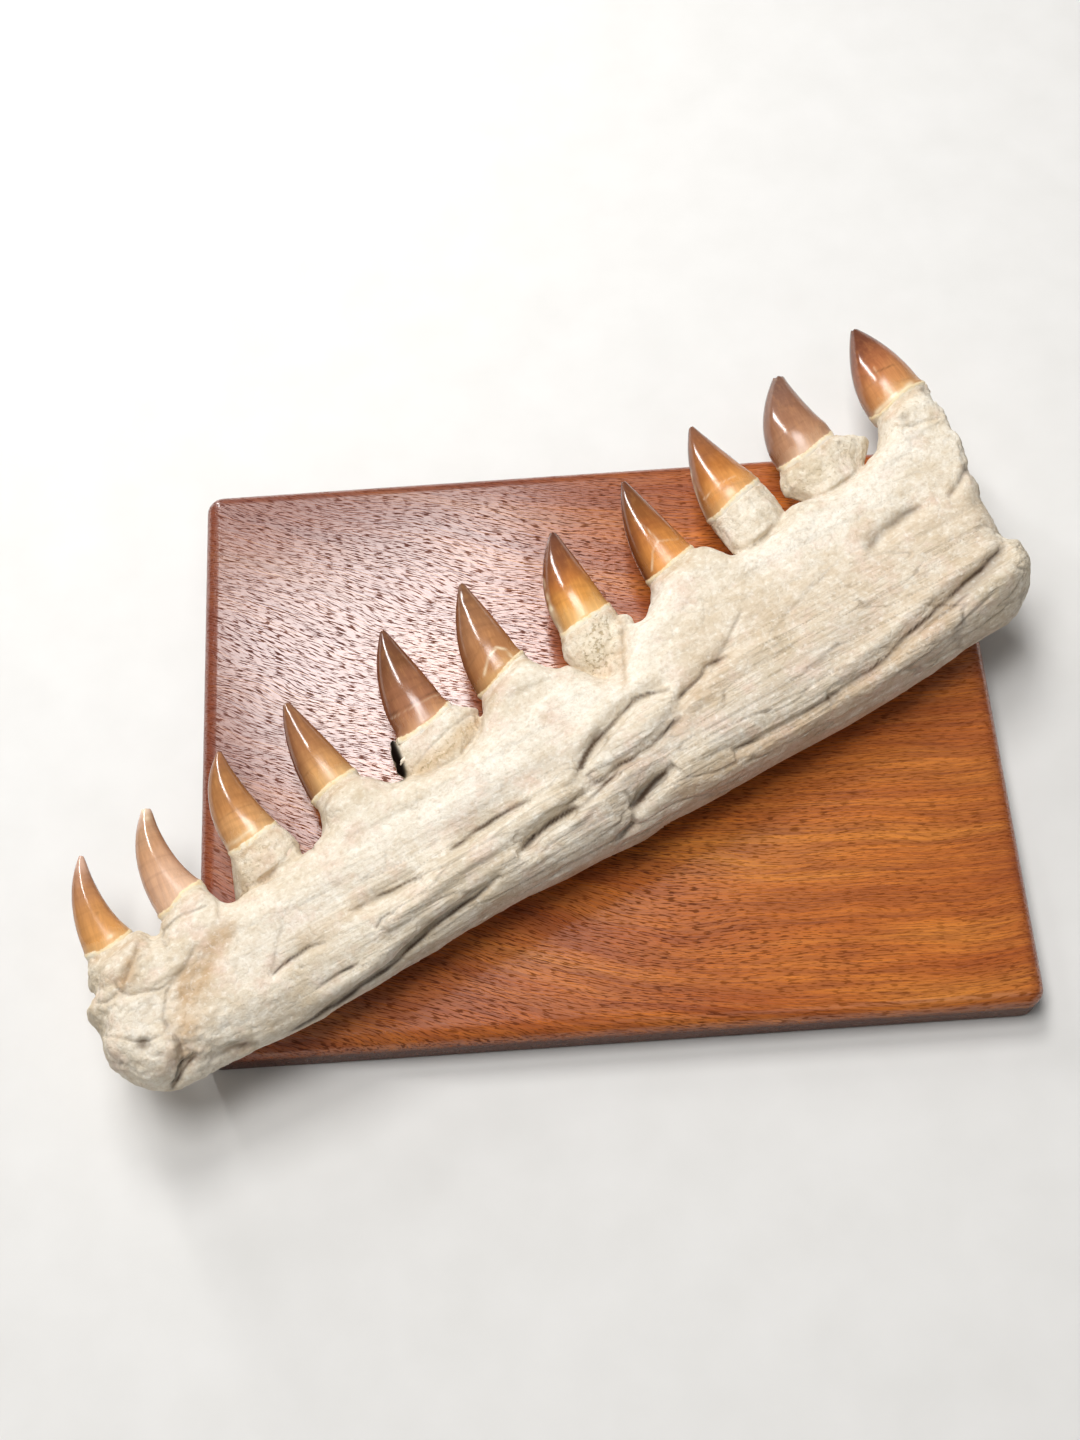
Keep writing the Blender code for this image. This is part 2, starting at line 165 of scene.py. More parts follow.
# The display board: one plank of reddish-brown hardwood, sanded round along its upper edges and
# polished. Short dark pores run along it. Its eased edges at the back and both ends are painted a
# darker red, as shade, and the lower part of its sides is painted near black, as shade.
BOARD_CORNER = 7.0 * MM
BOARD_TOP_EDGE = 6.0 * MM
BOARD_FOOT_EDGE = 1.2 * MM
GRAIN_SWAY = 0.02
GRAIN_BOW = 1.0
GRAIN_CREST = 0.1
SHARPEST_BEND = math.radians(35.0)
CLOSE = 0.01 * MM


def ramp(tree, factor, stops):
    """Colours that follow a value from stop to stop."""
    made = node(tree, "ShaderNodeValToRGB", {"Fac": factor})
    marks = made.color_ramp.elements
    marks.remove(marks[1])
    marks[0].position, marks[0].color = stops[0]
    for place, shown in stops[1:]:
        marks.new(place).color = shown
    return made.outputs["Color"]


def math_of(tree, operation, *values):
    return node(tree, "ShaderNodeMath", dict(enumerate(values)), operation=operation).outputs[0]


def times(tree, first, second):
    return math_of(tree, "MULTIPLY", first, second)


def spread(tree, value, low, high, to_low=0.0, to_high=1.0):
    """A value's range from low to high stretched to another range, and kept inside it."""
    made = node(tree, "ShaderNodeMapRange", {"Value": value, "From Min": low, "From Max": high,
                                             "To Min": to_low, "To Max": to_high})
    return made.outputs["Result"]


def round_over(piece, chosen, radius, segments):
    """Bevels the edges whose two ends pass the test."""
    bpy.ops.object.mode_set(mode="EDIT")
    bpy.ops.mesh.select_mode(type="EDGE")
    bpy.ops.mesh.select_all(action="DESELECT")
    form = bmesh.from_edit_mesh(piece.data)
    for edge in form.edges:
        edge.select = chosen(edge.verts[0].co, edge.verts[1].co)
    bmesh.update_edit_mesh(piece.data)
    bpy.ops.mesh.bevel(offset=radius, segments=segments, profile=0.5)
    bpy.ops.object.mode_set(mode="OBJECT")


low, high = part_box("display_board")
bpy.ops.object.select_all(action="DESELECT")
bpy.ops.mesh.primitive_cube_add(size=1.0, location=(low + high) / 2, scale=high - low)
board = bpy.context.object
board.name = "wooden_board"
bpy.ops.object.transform_apply(location=True, rotation=True, scale=True)
round_over(board, lambda a, b: abs(a.z - b.z) > CLOSE, BOARD_CORNER, 10)
round_over(board, lambda a, b: min(a.z, b.z) > high.z - CLOSE, BOARD_TOP_EDGE, 10)
round_over(board, lambda a, b: max(a.z, b.z) < low.z + CLOSE, BOARD_FOOT_EDGE, 3)
bpy.ops.object.shade_smooth_by_angle(angle=SHARPEST_BEND)

wood, tree, shader = new_material("polished_mahogany")
places = node(tree, "ShaderNodeTexCoord").outputs["Object"]
parts = node(tree, "ShaderNodeSeparateXYZ", {0: places})
sway = noise(tree, object_places(tree, stretch=(9.0, 22.0, 9.0)), 1.0, 2.0)
bow = math_of(tree, "POWER", math_of(tree, "SUBTRACT", parts.outputs["X"], GRAIN_CREST), 2.0)
swayed = math_of(tree, "MULTIPLY_ADD", sway, GRAIN_SWAY, parts.outputs["Y"])
swayed = math_of(tree, "MULTIPLY_ADD", bow, -GRAIN_BOW, swayed)
grain_places = node(tree, "ShaderNodeCombineXYZ", {"X": parts.outputs["X"], "Y": swayed,
                                                   "Z": parts.outputs["Z"]}).outputs[0]


def grain(stretch, detail, roughness=0.5):
    stretched = node(tree, "ShaderNodeMapping", {"Vector": grain_places, "Scale": stretch}).outputs[0]
    return noise(tree, stretched, 1.0, detail, roughness)


figure = grain((7.0, 70.0, 30.0), 3.0)
fibre = grain((45.0, 1300.0, 600.0), 4.0, 0.65)
pores = spread(tree, grain((250.0, 2100.0, 1100.0), 1.0, 0.5), 0.53, 0.62)
pore_room = spread(tree, grain((20.0, 45.0, 60.0), 2.0), 0.3, 0.6, 0.6, 1.0)
pore_room = times(tree, pore_room, spread(tree, parts.outputs["X"], 0.02, 0.11, 1.0, 0.7))
pores = times(tree, pores, pore_room)
tone = ramp(tree, figure, [(0.25, colour(160, 76, 28)), (0.42, colour(192, 101, 38)),
                           (0.58, colour(214, 122, 47)), (0.76, colour(226, 141, 57))])
tone = mix(tree, spread(tree, parts.outputs["X"], 0.11, 0.16, 0.0, 0.35), tone, colour(134, 64, 28))
stripes = grain((14.0, 260.0, 90.0), 3.0, 0.65)
tone = mix(tree, spread(tree, stripes, 0.46, 0.7, 0.0, 0.5), tone, colour(142, 70, 32))
tone = mix(tree, spread(tree, stripes, 0.46, 0.25, 0.0, 0.4), tone, colour(232, 146, 66))
tone = mix(tree, spread(tree, fibre, 0.38, 0.68, 0.0, 0.62), tone, colour(116, 52, 24))
heart = math_of(tree, "ADD", parts.outputs["X"], times(tree, swayed, -0.6))
tone = mix(tree, spread(tree, heart, 0.03, -0.11, 0.0, 0.75), tone, colour(106, 61, 52))
tone = mix(tree, times(tree, pores, 0.72), tone, colour(58, 28, 26))
# Painted shade: the eased edges at the back and both ends are painted a darker red.
edge_shades = [spread(tree, parts.outputs[axis], inside, outside) for axis, inside, outside in (
    ("X", high.x - 7 * MM, high.x), ("X", low.x + 8 * MM, low.x), ("Y", high.y - 6 * MM, high.y))]
rim = math_of(tree, "MAXIMUM", math_of(tree, "MAXIMUM", edge_shades[0], edge_shades[1]), edge_shades[2])
tone = mix(tree, times(tree, rim, 0.6), tone, colour(122, 56, 34))
# Painted shade: the board's sides darken to near black below the top edge, down to the foot.
low_side_shade = spread(tree, parts.outputs["Z"], high.z - 4 * MM, high.z - 9 * MM, 0.0, 0.85)
tone = mix(tree, low_side_shade, tone, colour(66, 32, 22))
tree.links.new(tone, shader.inputs["Base Color"])
tree.links.new(spread(tree, fibre, 0.3, 0.7, 0.24, 0.34), shader.inputs["Roughness"])
on_top = spread(tree, parts.outputs["Z"], high.z - 6 * MM, high.z - 1 * MM)
polish = times(tree, spread(tree, pores, 0.0, 0.6, 1.0, 0.0), on_top)
tree.links.new(polish, shader.inputs["Coat Weight"])
tree.links.new(spread(tree, polish, 0.0, 1.0, 0.08, 0.5), shader.inputs["Specular IOR Level"])
shader.inputs["Coat Roughness"].default_value = 0.17
depth = math_of(tree, "SUBTRACT", times(tree, fibre, 0.25), pores)
bump = node(tree, "ShaderNodeBump", {"Height": depth, "Strength": 0.3, "Distance": 0.15 * MM})
tree.links.new(bump.outputs[0], shader.inputs["Normal"])
board.data.materials.append(wood)
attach(board, "root")
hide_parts("display_board")


# The jaw bone: one half of the lower jaw, turned to stone, cream and ivory with beige and grey
# patches, torn off at its rear. Slits, folds and fine lines follow its length, and collars of
# bone rise to six of the teeth. It lies across the board.
JAW_TURN = math.radians(26.1)
JAW_PLACE = (-169.1, -142.9)
TOOTH_PLANE = 40.0
SKIN_SIZE = 0.62 * MM
SKIN_PASSES = 9
STUB_SWELL = 0.45 * MM


def jaw_places(points):
    """Places of the frame's points along the jaw, up its side and over the board's foot, in mm."""
    x, y = points[:, 0] / MM - JAW_PLACE[0], points[:, 1] / MM - JAW_PLACE[1]
    cosine, sine = math.cos(JAW_TURN), math.sin(JAW_TURN)
    return np.column_stack([x * cosine + y * sine, y * cosine - x * sine, points[:, 2] / MM])


def jaw_direction(along, up):
    """A direction of the jaw, in the frame."""
    return Matrix.Rotation(JAW_TURN, 3, "Z") @ Vector((along, up, 0.0))


def jaw_point(along, up, height=TOOTH_PLANE):
    """A place of the jaw, in the frame."""
    return (jaw_direction(along, up) + Vector((*JAW_PLACE, height))) * MM


EYE = jaw_places(np.array([camera.location]))[0]


def seen(points):
    """Where the front's points show on the tooth row's plane, along the jaw and up it, in mm."""
    places = jaw_places(points)
    share = (EYE[2] - TOOTH_PLANE) / (EYE[2] - places[:, 2:])
    return EYE[:2] + (places[:, :2] - EYE[:2]) * share


def near_path(places, path):
    """Signed distance from a path, above it positive, and how far along it that is, 0 to 1."""
    path = np.array(path, float)
    runs = np.concatenate([[0.0], np.cumsum(np.linalg.norm(np.diff(path, axis=0), axis=1))])
    best = np.full(len(places), 1e9)
    side = np.ones(len(places))
    share = np.zeros(len(places))
    for index, (start, end) in enumerate(zip(path, path[1:])):
        along = end - start
        part = np.clip((places - start) @ along / (along @ along), 0.0, 1.0)
        away = places - start - part[:, None] * along
        distance = np.linalg.norm(away, axis=1)
        nearer = distance < best
        best = np.where(nearer, distance, best)
        side = np.where(nearer, np.sign(along[0] * away[:, 1] - along[1] * away[:, 0]), side)
        share = np.where(nearer, (runs[index] + part * np.linalg.norm(along)) / runs[-1], share)
    return best * side, share


def furrow(places, path, above, below, ends=0.35):
    """A furrow's depth, 1 along its path and less away from it, running out at both ends."""
    distance, share = near_path(places, path)
    width = np.where(distance > 0, above, below)
    runs_out = np.clip(np.minimum(share, 1.0 - share) / ends, 0.0, 1.0)
    return np.exp(-(distance / width) ** 2) * np.sqrt(runs_out * (2.0 - runs_out))


def band(places, path, half_width):
    """1 along a path and less away from it, with blunt ends."""
    return np.exp(-(near_path(places, path)[0] / half_width) ** 2)


def cloud(places, sizes, seed):
    """Smooth random values, mostly between -1 and 1, that change over the given sizes."""
    cells = 64
    grid = np.random.default_rng(seed).uniform(-1.0, 1.0, (cells, cells, cells))
    at = places / np.array(sizes, float)
    corner = np.floor(at).astype(int)
    part = at - corner
    part = part * part * (3.0 - 2.0 * part)
    total = np.zeros(len(places))
    for step in itertools.product((0, 1), repeat=3):
        weight = np.prod(np.where(step, part, 1.0 - part), axis=1)
        total += weight * grid[tuple(((corner + step) % cells).T)]
    return total


def ease(value, low, high):
    """0 below low, 1 above high, and a smooth rise between them."""
    part = np.clip((value - low) / (high - low), 0.0, 1.0)
    return part * part * (3.0 - 2.0 * part)


def points_of(mesh, what="co"):
    values = np.empty(len(mesh.vertices) * 3, np.float32)
    mesh.vertices.foreach_get(what, values)
    return values.reshape(-1, 3).astype(float)


def move_points(mesh, points):
    mesh.vertices.foreach_set("co", points.astype(np.float32).ravel())
    mesh.update()


def keep_values(mesh, name, values):
    mesh.attributes.new(name, "FLOAT", "POINT").data.foreach_set("value", values.astype(np.float32))


def closed_copy(name):
    """A CAD node's mesh as a closed form, with its doubled points merged."""
    form = bmesh.new()
    form.from_mesh(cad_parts[name].data)
    bmesh.ops.remove_doubles(form, verts=form.verts, dist=CLOSE)
    return form


def add_piece(name, form):
    mesh = bpy.data.meshes.new(name)
    form.to_mesh(mesh)
    form.free()
    piece = bpy.data.objects.new(name, mesh)
    bpy.context.scene.collection.objects.link(piece)
    return piece


def only(piece):
    bpy.ops.object.select_all(action="DESELECT")
    piece.select_set(True)
    bpy.context.view_layer.objects.active = piece


def finish_with(piece, kind, **settings):
    """Adds a modifier and applies it."""
    only(piece)
    step = piece.modifiers.new(kind.lower(), kind)
    for name, value in settings.items():
        setattr(step, name, value)
    bpy.ops.object.modifier_apply(modifier=step.name)


# For each tooth: the crown's foot line and its tip, as seen along the jaw and up it, in mm.
TEETH = {
    1: dict(foot=[(9, 62.3), (15.5, 60.4), (21.1, 61), (28, 62.5)], tip=(23.2, 97.4)),
    2: dict(foot=[(38, 62), (43.4, 62.8), (49, 66), (58, 67)], tip=(50.3, 102.5)),
    3: dict(foot=[(69.5, 71), (75, 71.5), (80, 72), (85, 73), (91.5, 73.8)], tip=(84, 109.3)),
    4: dict(foot=[(104.5, 73), (110, 75.5), (117, 77), (126, 77.5)], tip=(114.8, 114.3)),
    5: dict(foot=[(143.5, 80.2), (149.8, 79.6), (157.5, 80.6), (163, 82), (168, 84.5)], tip=(159.7, 123)),
    6: dict(foot=[(177.5, 79.8), (183, 81), (187.6, 83), (196.3, 87), (202, 88.5)], tip=(195, 125.5)),
    7: dict(foot=[(217, 86.8), (222, 87.5), (229, 88.6), (235, 89), (241.5, 89.5)], tip=(236.6, 127.5)),
    8: dict(foot=[(256.5, 89.5), (265, 91), (271, 92.6), (281.5, 95)], tip=(272.4, 133.3)),
    9: dict(foot=[(291, 101), (297.8, 101.9), (304, 104.3), (310, 106), (320, 108)], tip=(309.5, 141.6)),
    10: dict(foot=[(327.5, 107.5), (332, 107.4), (342.3, 107.9), (350, 110), (357, 111.5)],
             tip=(350.5, 144.4)),
    11: dict(foot=[(372.5, 108.3), (378.1, 108), (387.7, 111.3), (394, 113.2), (401.5, 112)],
             tip=(390.6, 147.8)),
}
# Where each crown ends: its front and rear, as seen along the jaw and up it, in mm. The bone's
# skin is drawn over what lies below, a buried stub or a bare root.
STUB_TOPS = {
    1: ((10.0, 61.3), (27.5, 63.5)), 2: ((38.6, 62.0), (57.2, 66.5)), 3: ((69.5, 70.6), (91.5, 73.2)),
    4: ((105.3, 74.0), (124.8, 77.5)), 5: ((143.5, 77.9), (168.0, 82.2)), 6: ((178.5, 81.0), (201.0, 89.0)),
    7: ((217.5, 86.2), (241.0, 88.9)), 8: ((257.8, 90.0), (280.3, 94.3)), 9: ((291.5, 99.6), (319.5, 106.8)),
    10: ((328.0, 106.0), (356.5, 109.3)), 11: ((373.6, 108.0), (399.8, 112.0)),
}
ROOTED = (3, 5, 7, 9, 10)
SEAT_DROP = 0.25
ROOT_DROP = 1.1


def crown_heights(number, points):
    """Height above a crown's foot line and place across it, as seen, in mm, and its way and length."""
    foot, tip = np.array(TEETH[number]["foot"], float), np.array(TEETH[number]["tip"], float)
    middle = (foot[0] + foot[-1]) / 2
    length = np.linalg.norm(tip - middle)
    upwards = (tip - middle) / length
    shown = seen(points)
    at_foot = shown[:, 0] - (shown[:, 1] - middle[1]) * upwards[0] / upwards[1]
    level = np.interp(at_foot, foot[:, 0], foot[:, 1])
    up = (shown[:, 1] - level) / upwards[1]
    return up, (shown - middle) @ np.array([upwards[1], -upwards[0]]), upwards, length


def crown_end(number):
    """The middle of where a crown ends, and the way up from there."""
    front, rear = STUB_TOPS[number]
    upwards = Vector((front[1] - rear[1], rear[0] - front[0])).normalized()
    return (Vector(front) + Vector(rear)) / 2, upwards


def add_ball(place, radius, **settings):
    bpy.ops.mesh.primitive_uv_sphere_add(segments=24, ring_count=16, radius=radius,
                                         location=jaw_point(*place), **settings)
    return bpy.context.object


# Stone that fills the clefts beside two roots: place along the jaw, up it and over the board's
# foot, and radius, in mm.
FILLED_CLEFTS = [((237.5, 74.0, 44.0), 5.0), ((234.0, 67.0, 44.0), 6.0), ((230.0, 60.0, 45.0), 6.0),
                 ((240.0, 77.5, 42.0), 4.0)]

# The floor of the dark hollow at the front of the fifth tooth's root: place, half sizes and lean.
HOLLOW_PLACE = (140.9, 74.0, 37.5)
HOLLOW_SIZE = (2.0 * MM, 7.2 * MM, 7.0 * MM)
HOLLOW_LEAN = math.radians(-12.0)

jaw = add_piece("fossil_jaw", closed_copy("jaw_bone"))
stubs = []
for number, (front, rear) in STUB_TOPS.items():
    form = closed_copy(f"tooth_{number:02d}")
    middle, upwards = crown_end(number)
    middle -= upwards * (ROOT_DROP if number in ROOTED else SEAT_DROP)
    across = jaw_direction(rear[0] - front[0], rear[1] - front[1])
    facing_cut = jaw_direction(*upwards)
    if number in ROOTED:
        facing_cut = (camera.location - jaw_point(*middle)).cross(across)
        facing_cut *= math.copysign(1.0, facing_cut.dot(jaw_direction(*upwards)))
    cut = bmesh.ops.bisect_plane(form, geom=form.verts[:] + form.edges[:] + form.faces[:],
                                 clear_outer=True, plane_co=jaw_point(*middle), plane_no=facing_cut)
    rim = [part for part in cut["geom_cut"] if isinstance(part, bmesh.types.BMEdge)]
    bmesh.ops.edgenet_fill(form, edges=rim)
    bmesh.ops.recalc_face_normals(form, faces=form.faces)
    form.normal_update()
    for vert in form.verts:
        vert.co += vert.normal * STUB_SWELL
    stubs.append(add_piece(f"stub_{number:02d}", form))
for place, radius in FILLED_CLEFTS:
    stubs.append(add_ball(place, radius * MM))
stubs.append(add_ball(HOLLOW_PLACE, 1.0, rotation=(0.0, 0.0, JAW_TURN + HOLLOW_LEAN), scale=HOLLOW_SIZE))
bpy.ops.object.select_all(action="DESELECT")
for stub in stubs:
    stub.select_set(True)
jaw.select_set(True)
bpy.context.view_layer.objects.active = jaw
bpy.ops.object.join()
finish_with(jaw, "REMESH", mode="VOXEL", voxel_size=SKIN_SIZE)
finish_with(jaw, "SMOOTH", factor=0.5, iterations=SKIN_PASSES)

# Furrows of the outer face, as seen: path, width above and below it, and depth, all in mm.
FURROWS = [
    ([(63.3, 21.9), (68, 23.4), (73, 24.4), (79.6, 24.9), (86, 23.6)], 0.7, 1.5, 1.1),
    ([(75.5, 42), (75, 37), (71.4, 33.1), (66.7, 26.2), (63.3, 21.9)], 1.4, 0.5, 0.35),
    ([(75, 9.7), (81.6, 10.8), (86.2, 11), (93, 10.8)], 0.5, 1.0, 0.8),
    ([(103, 19), (106.6, 21.5), (110, 21.9), (113.3, 19.5)], 0.6, 1.1, 0.7),
    ([(60.3, 0.5), (78.9, 2), (100, 4), (120, 9.2), (132, 11), (140, 11.5), (151, 14.8)], 0.8, 2.0, 2.0),
    ([(98, 29.5), (110, 29), (118, 28.8), (127, 28.2)], 1.0, 2.2, 0.9),
    ([(140, 31.5), (150, 33.2), (160, 34.4), (167, 34.4), (175, 34.6)], 1.1, 2.4, 1.5),
    ([(160, 18), (165.9, 20), (170.8, 21.4), (176.6, 22.6), (184, 23.2), (188, 23.4)], 1.1, 1.9, 2.6),
    ([(182, 23.4), (189.5, 22.6), (197.7, 24.4), (209, 27.8)], 0.8, 2.0, 1.2),
    ([(193, 33.5), (199, 38), (205.1, 41.3), (213.6, 44.5), (220.1, 47.3), (226.9, 49.1), (233.3, 49.4),
      (242, 46.4)], 0.8, 2.4, 2.0),
    ([(196, 36), (203, 41), (211, 45.5)], 1.4, 3.6, 1.1),
    ([(197, 27.6), (205, 28.9), (211, 30), (216, 29.6), (226, 31.5), (233.6, 33.2), (239.7, 34.6)],
     0.7, 2.4, 1.5),
    ([(181, 23.8), (189, 26), (199, 28)], 0.7, 1.6, 0.4),
    ([(241, 41.2), (246, 43.2), (251.8, 45), (258.9, 47.8), (268, 47.5)], 0.8, 2.0, 1.3),
    ([(262, 47.5), (272, 53), (283, 62)], 0.7, 1.6, 0.45),
    ([(204.5, 11.5), (210.9, 15.6), (217.2, 17.7), (227, 20.8)], 1.0, 3.6, 3.3),
    ([(201, 5), (205, 11), (206.5, 16), (206, 20)], 0.7, 0.9, 0.6),
    ([(193, 4.5), (200.4, 6.5), (204.5, 8)], 0.8, 1.8, 1.4),
    ([(248, 13.5), (262, 13), (278, 13), (296, 13.8)], 0.8, 2.2, 1.2),
    ([(290, 14.2), (303, 15), (317, 16.5), (328, 19.9), (338.5, 22.4), (347, 24.7), (359, 27.3), (371, 30),
      (386, 34)], 0.7, 3.2, 1.6),
    ([(333, 18.5), (340, 20.2), (348, 21.2), (361, 23.6)], 0.5, 1.3, 1.0),
    ([(345, 13), (357, 16), (372, 20)], 0.5, 1.0, 0.5),
    ([(337, 58.6), (348.6, 62.8), (356.5, 64.4), (368, 64.6)], 2.0, 4.0, 0.95),
    ([(378, 62), (386, 66), (392, 69.1), (397, 69)], 0.8, 2.2, 0.9),
    ([(15.8, 3.3), (19.5, 4.8), (22.2, 6.9), (25.6, 8.8), (29.7, 10)], 0.9, 1.8, 2.1),
    ([(22, 7), (25, 12), (26, 17), (25, 23), (24.5, 28)], 1.4, 1.4, 0.9),
    ([(24.5, 28), (30, 36), (38, 40), (46, 46)], 0.6, 1.6, 0.7),
    ([(29, 57), (22.5, 50.5), (16.5, 45)], 0.5, 0.6, 0.6),
    ([(31, 7.5), (41.9, 6.2), (50, 3)], 1.2, 3.0, 1.2),
    ([(37.9, 56.5), (42.2, 57.9), (46.8, 58.4), (51.8, 57.3), (55.5, 56.6)], 0.8, 0.9, 0.8),
    ([(36.5, 50), (36.8, 54), (38.5, 57)], 1.0, 1.0, 0.8),
    ([(59.8, 57), (58, 53.5), (57.1, 50.5)], 0.5, 0.5, 0.4),
    ([(14.9, 48.5), (15.6, 44.1), (17.6, 41), (21.1, 40), (25.2, 38.3), (27.9, 37.4), (31.3, 38.1),
      (35, 39.3)], 0.6, 0.8, 0.9),
    ([(3.5, 32.9), (7.9, 29), (13, 24.9), (17.9, 22.6), (21.4, 22.4), (23.8, 23.4)], 0.5, 0.6, 0.6),
    ([(6, 44.5), (10, 42.5), (14.9, 44)], 0.5, 0.7, 0.6),
    ([(121.4, 50.9), (121.2, 46), (118.3, 39.5), (114.4, 34.8)], 0.35, 0.35, 0.25),
    ([(107, 41.1), (107.5, 34.8), (109.4, 29.7)], 0.35, 0.35, 0.25),
    ([(379.8, 100.1), (385.6, 96.6), (398.1, 94.5)], 0.8, 1.0, 0.5),
    ([(105, 66), (108, 69), (113, 72.5)], 0.8, 0.8, 0.5),
    ([(250, 30), (275, 31.5), (300, 33)], 0.8, 2.0, 0.2),
    ([(286, 47), (306, 54), (322, 59.6), (338, 61)], 0.7, 2.2, 0.3),
    ([(70, 57), (74, 55.5), (80, 56), (88, 59), (93.5, 62.5)], 0.7, 1.0, 0.5),
    ([(143, 63), (148.3, 62.2), (161, 62.4), (172, 67.5), (175, 72)], 0.6, 0.9, 0.6),
    ([(142.9, 66.5), (152, 70.4), (164.4, 74.4), (174, 75)], 0.5, 0.5, 0.4),
    ([(240.5, 84), (239.5, 77), (234, 68), (229, 58)], 0.7, 1.2, 0.5),
    ([(292, 86), (300, 82.5), (308, 84), (320, 90)], 0.8, 1.6, 0.45),
    ([(328, 89.5), (340, 88), (352, 90), (362, 94)], 0.8, 1.4, 0.25),
    ([(264.5, 60), (269, 66), (272, 74)], 0.35, 0.35, 0.2),
]
# Painted shade in the deepest parts of the slits, as seen: path and half width.
SLIT_SHADE_CORES = [
    ([(165, 19.2), (170.8, 21.4), (176.6, 22.6), (184, 23.2)], 1.0),
    ([(206, 13.4), (212, 15.6), (220, 17.8)], 0.9),
    ([(60, 0.5), (79, 2), (100, 3.6), (120, 9), (132, 10.8), (138.3, 11.1), (145, 13)], 0.5),
    ([(318, 16.8), (328, 19.9), (338, 22.3)], 0.4), ([(17, 4.6), (20, 7), (24.5, 11)], 0.6),
    ([(227, 50), (232.5, 49.8), (236, 48.5)], 0.35), ([(80, 10.4), (86, 11.1), (90, 11)], 0.45),
    ([(157, 34.4), (166, 34.3)], 0.35), ([(104, 19.5), (107, 21.5), (110, 21.9)], 0.45),
    ([(65, 22.3), (73, 24.4), (80, 24.9)], 0.3), ([(244, 42.2), (250.7, 44), (256, 46)], 0.4),
    ([(196, 5.6), (201, 6.9)], 0.5), ([(228, 30.8), (236, 34.6)], 0.35),
]
# Swellings of the outer face, as seen: path, half width and height.
SWELLINGS = [
    ([(207, 33), (214, 33), (222, 34.2), (232, 36.6)], 1.3, 0.7),
    ([(203, 33.5), (212, 34.6), (222, 36.4), (234, 40)], 3.4, 0.8),
    ([(190, 37), (200, 43), (210, 48), (222, 52.5), (236, 53)], 3.5, 1.0),
    ([(108, 18.5), (120, 20), (140, 24.5), (160, 27.5), (178, 28.5), (192, 27.5)], 2.9, 1.9),
    ([(70, 6), (95, 8), (118, 13), (140, 16), (158, 18)], 2.6, 1.3),
    ([(185, 19), (198, 21), (205, 24), (216, 27)], 3.0, 1.1),
    ([(212, 10), (228, 14), (245, 20)], 4.0, 0.8),
    ([(246, 37), (262, 41.5), (285, 44)], 3.0, 1.0),
    ([(245, 22), (275, 26), (305, 31)], 4.0, 0.7),
    ([(300, 20), (330, 25.5), (352, 30.5), (380, 36)], 3.0, 1.3),
    ([(305, 9), (335, 13.5), (365, 19), (380, 22)], 4.0, 1.2),
    ([(11, 9), (17, 12), (21, 17)], 5.0, 0.9),
    ([(9, 36), (14, 38), (19, 37)], 3.0, 0.8),
    ([(14, 52), (22, 55), (28, 56)], 3.5, 0.9),
    ([(40, 54), (50, 54), (56, 52)], 3.0, 0.5),
    ([(108, 68), (118, 71), (126, 69)], 4.0, 0.5),
    ([(182, 74), (192, 78), (200, 77)], 5.0, 0.6),
    ([(378, 104), (388, 105), (396, 103)], 3.0, 0.5),
]
# Round holes in the outer face, as seen: place, radius and depth.
HOLES = [((14.6, 22.3), 2.1, 1.3), ((5.3, 20.2), 0.9, 0.7), ((385.1, 101.2), 1.8, 0.7),
         ((356.3, 104.6), 0.9, 0.6),
         ((97.4, 57.9), 0.9, 0.8), ((74.5, 19.6), 0.6, 0.6), ((136.5, 48), 0.6, 0.5),
         ((233.5, 49.0), 0.7, 0.8), ((168.5, 44), 0.6, 0.5)]

# The bare roots, as seen: a path up their middle, half their width and how porous they are.
ROOT_ZONES = [([(76, 60), (83, 66)], 8.0, 0.5), ([(146, 65), (157, 67), (171, 71)], 3.2, 0.8),
              ([(224, 70), (228, 76), (231, 81)], 7.5, 1.0), ([(301, 90), (310, 97)], 8.0, 0.2),
              ([(334, 97), (350, 99), (362, 101)], 7.5, 0.45)]

# Above this height, in mm, the skin is drawn down by this share of what is over.
HIGHEST = cad_box[1].z / MM + 0.5
OVER_SHARE = 0.7


def wandering(places, shown):
    """Places shifted a little at random, so that what follows a path wavers."""
    return shown + 0.4 * np.column_stack([cloud(places, (5.0, 5.0, 5.0), seed) for seed in (1, 2)])


def lined_zones(s, h):
    """Where fine lines run along the bone: in its lower half, at its rear, and how strong in all."""
    lower = ease(s, 40, 120) * ease(58 - h, 0, 30)
    rear = ease(s, 225, 290) * ease(66 - h, 0, 20)
    return lower, rear, np.clip(lower * 0.95 + rear * 0.6, 0.04, 1.0)


def split_lines(places):
    """Thin splits of the surface: long ones along the bone, and short ones every way."""
    long = np.clip(1.0 - np.abs(cloud(places, (30.0, 3.6, 5.0), 12)) / 0.09, 0.0, 1.0)
    short = np.clip(1.0 - np.abs(cloud(places, (8.0, 6.0, 6.0), 13)) / 0.035, 0.0, 1.0)
    return long, short


def zones(places, table):
    """Soft patches added up, each with its path, half width and strength."""
    return sum(strength * band(places, path, half_width) for path, half_width, strength in table)


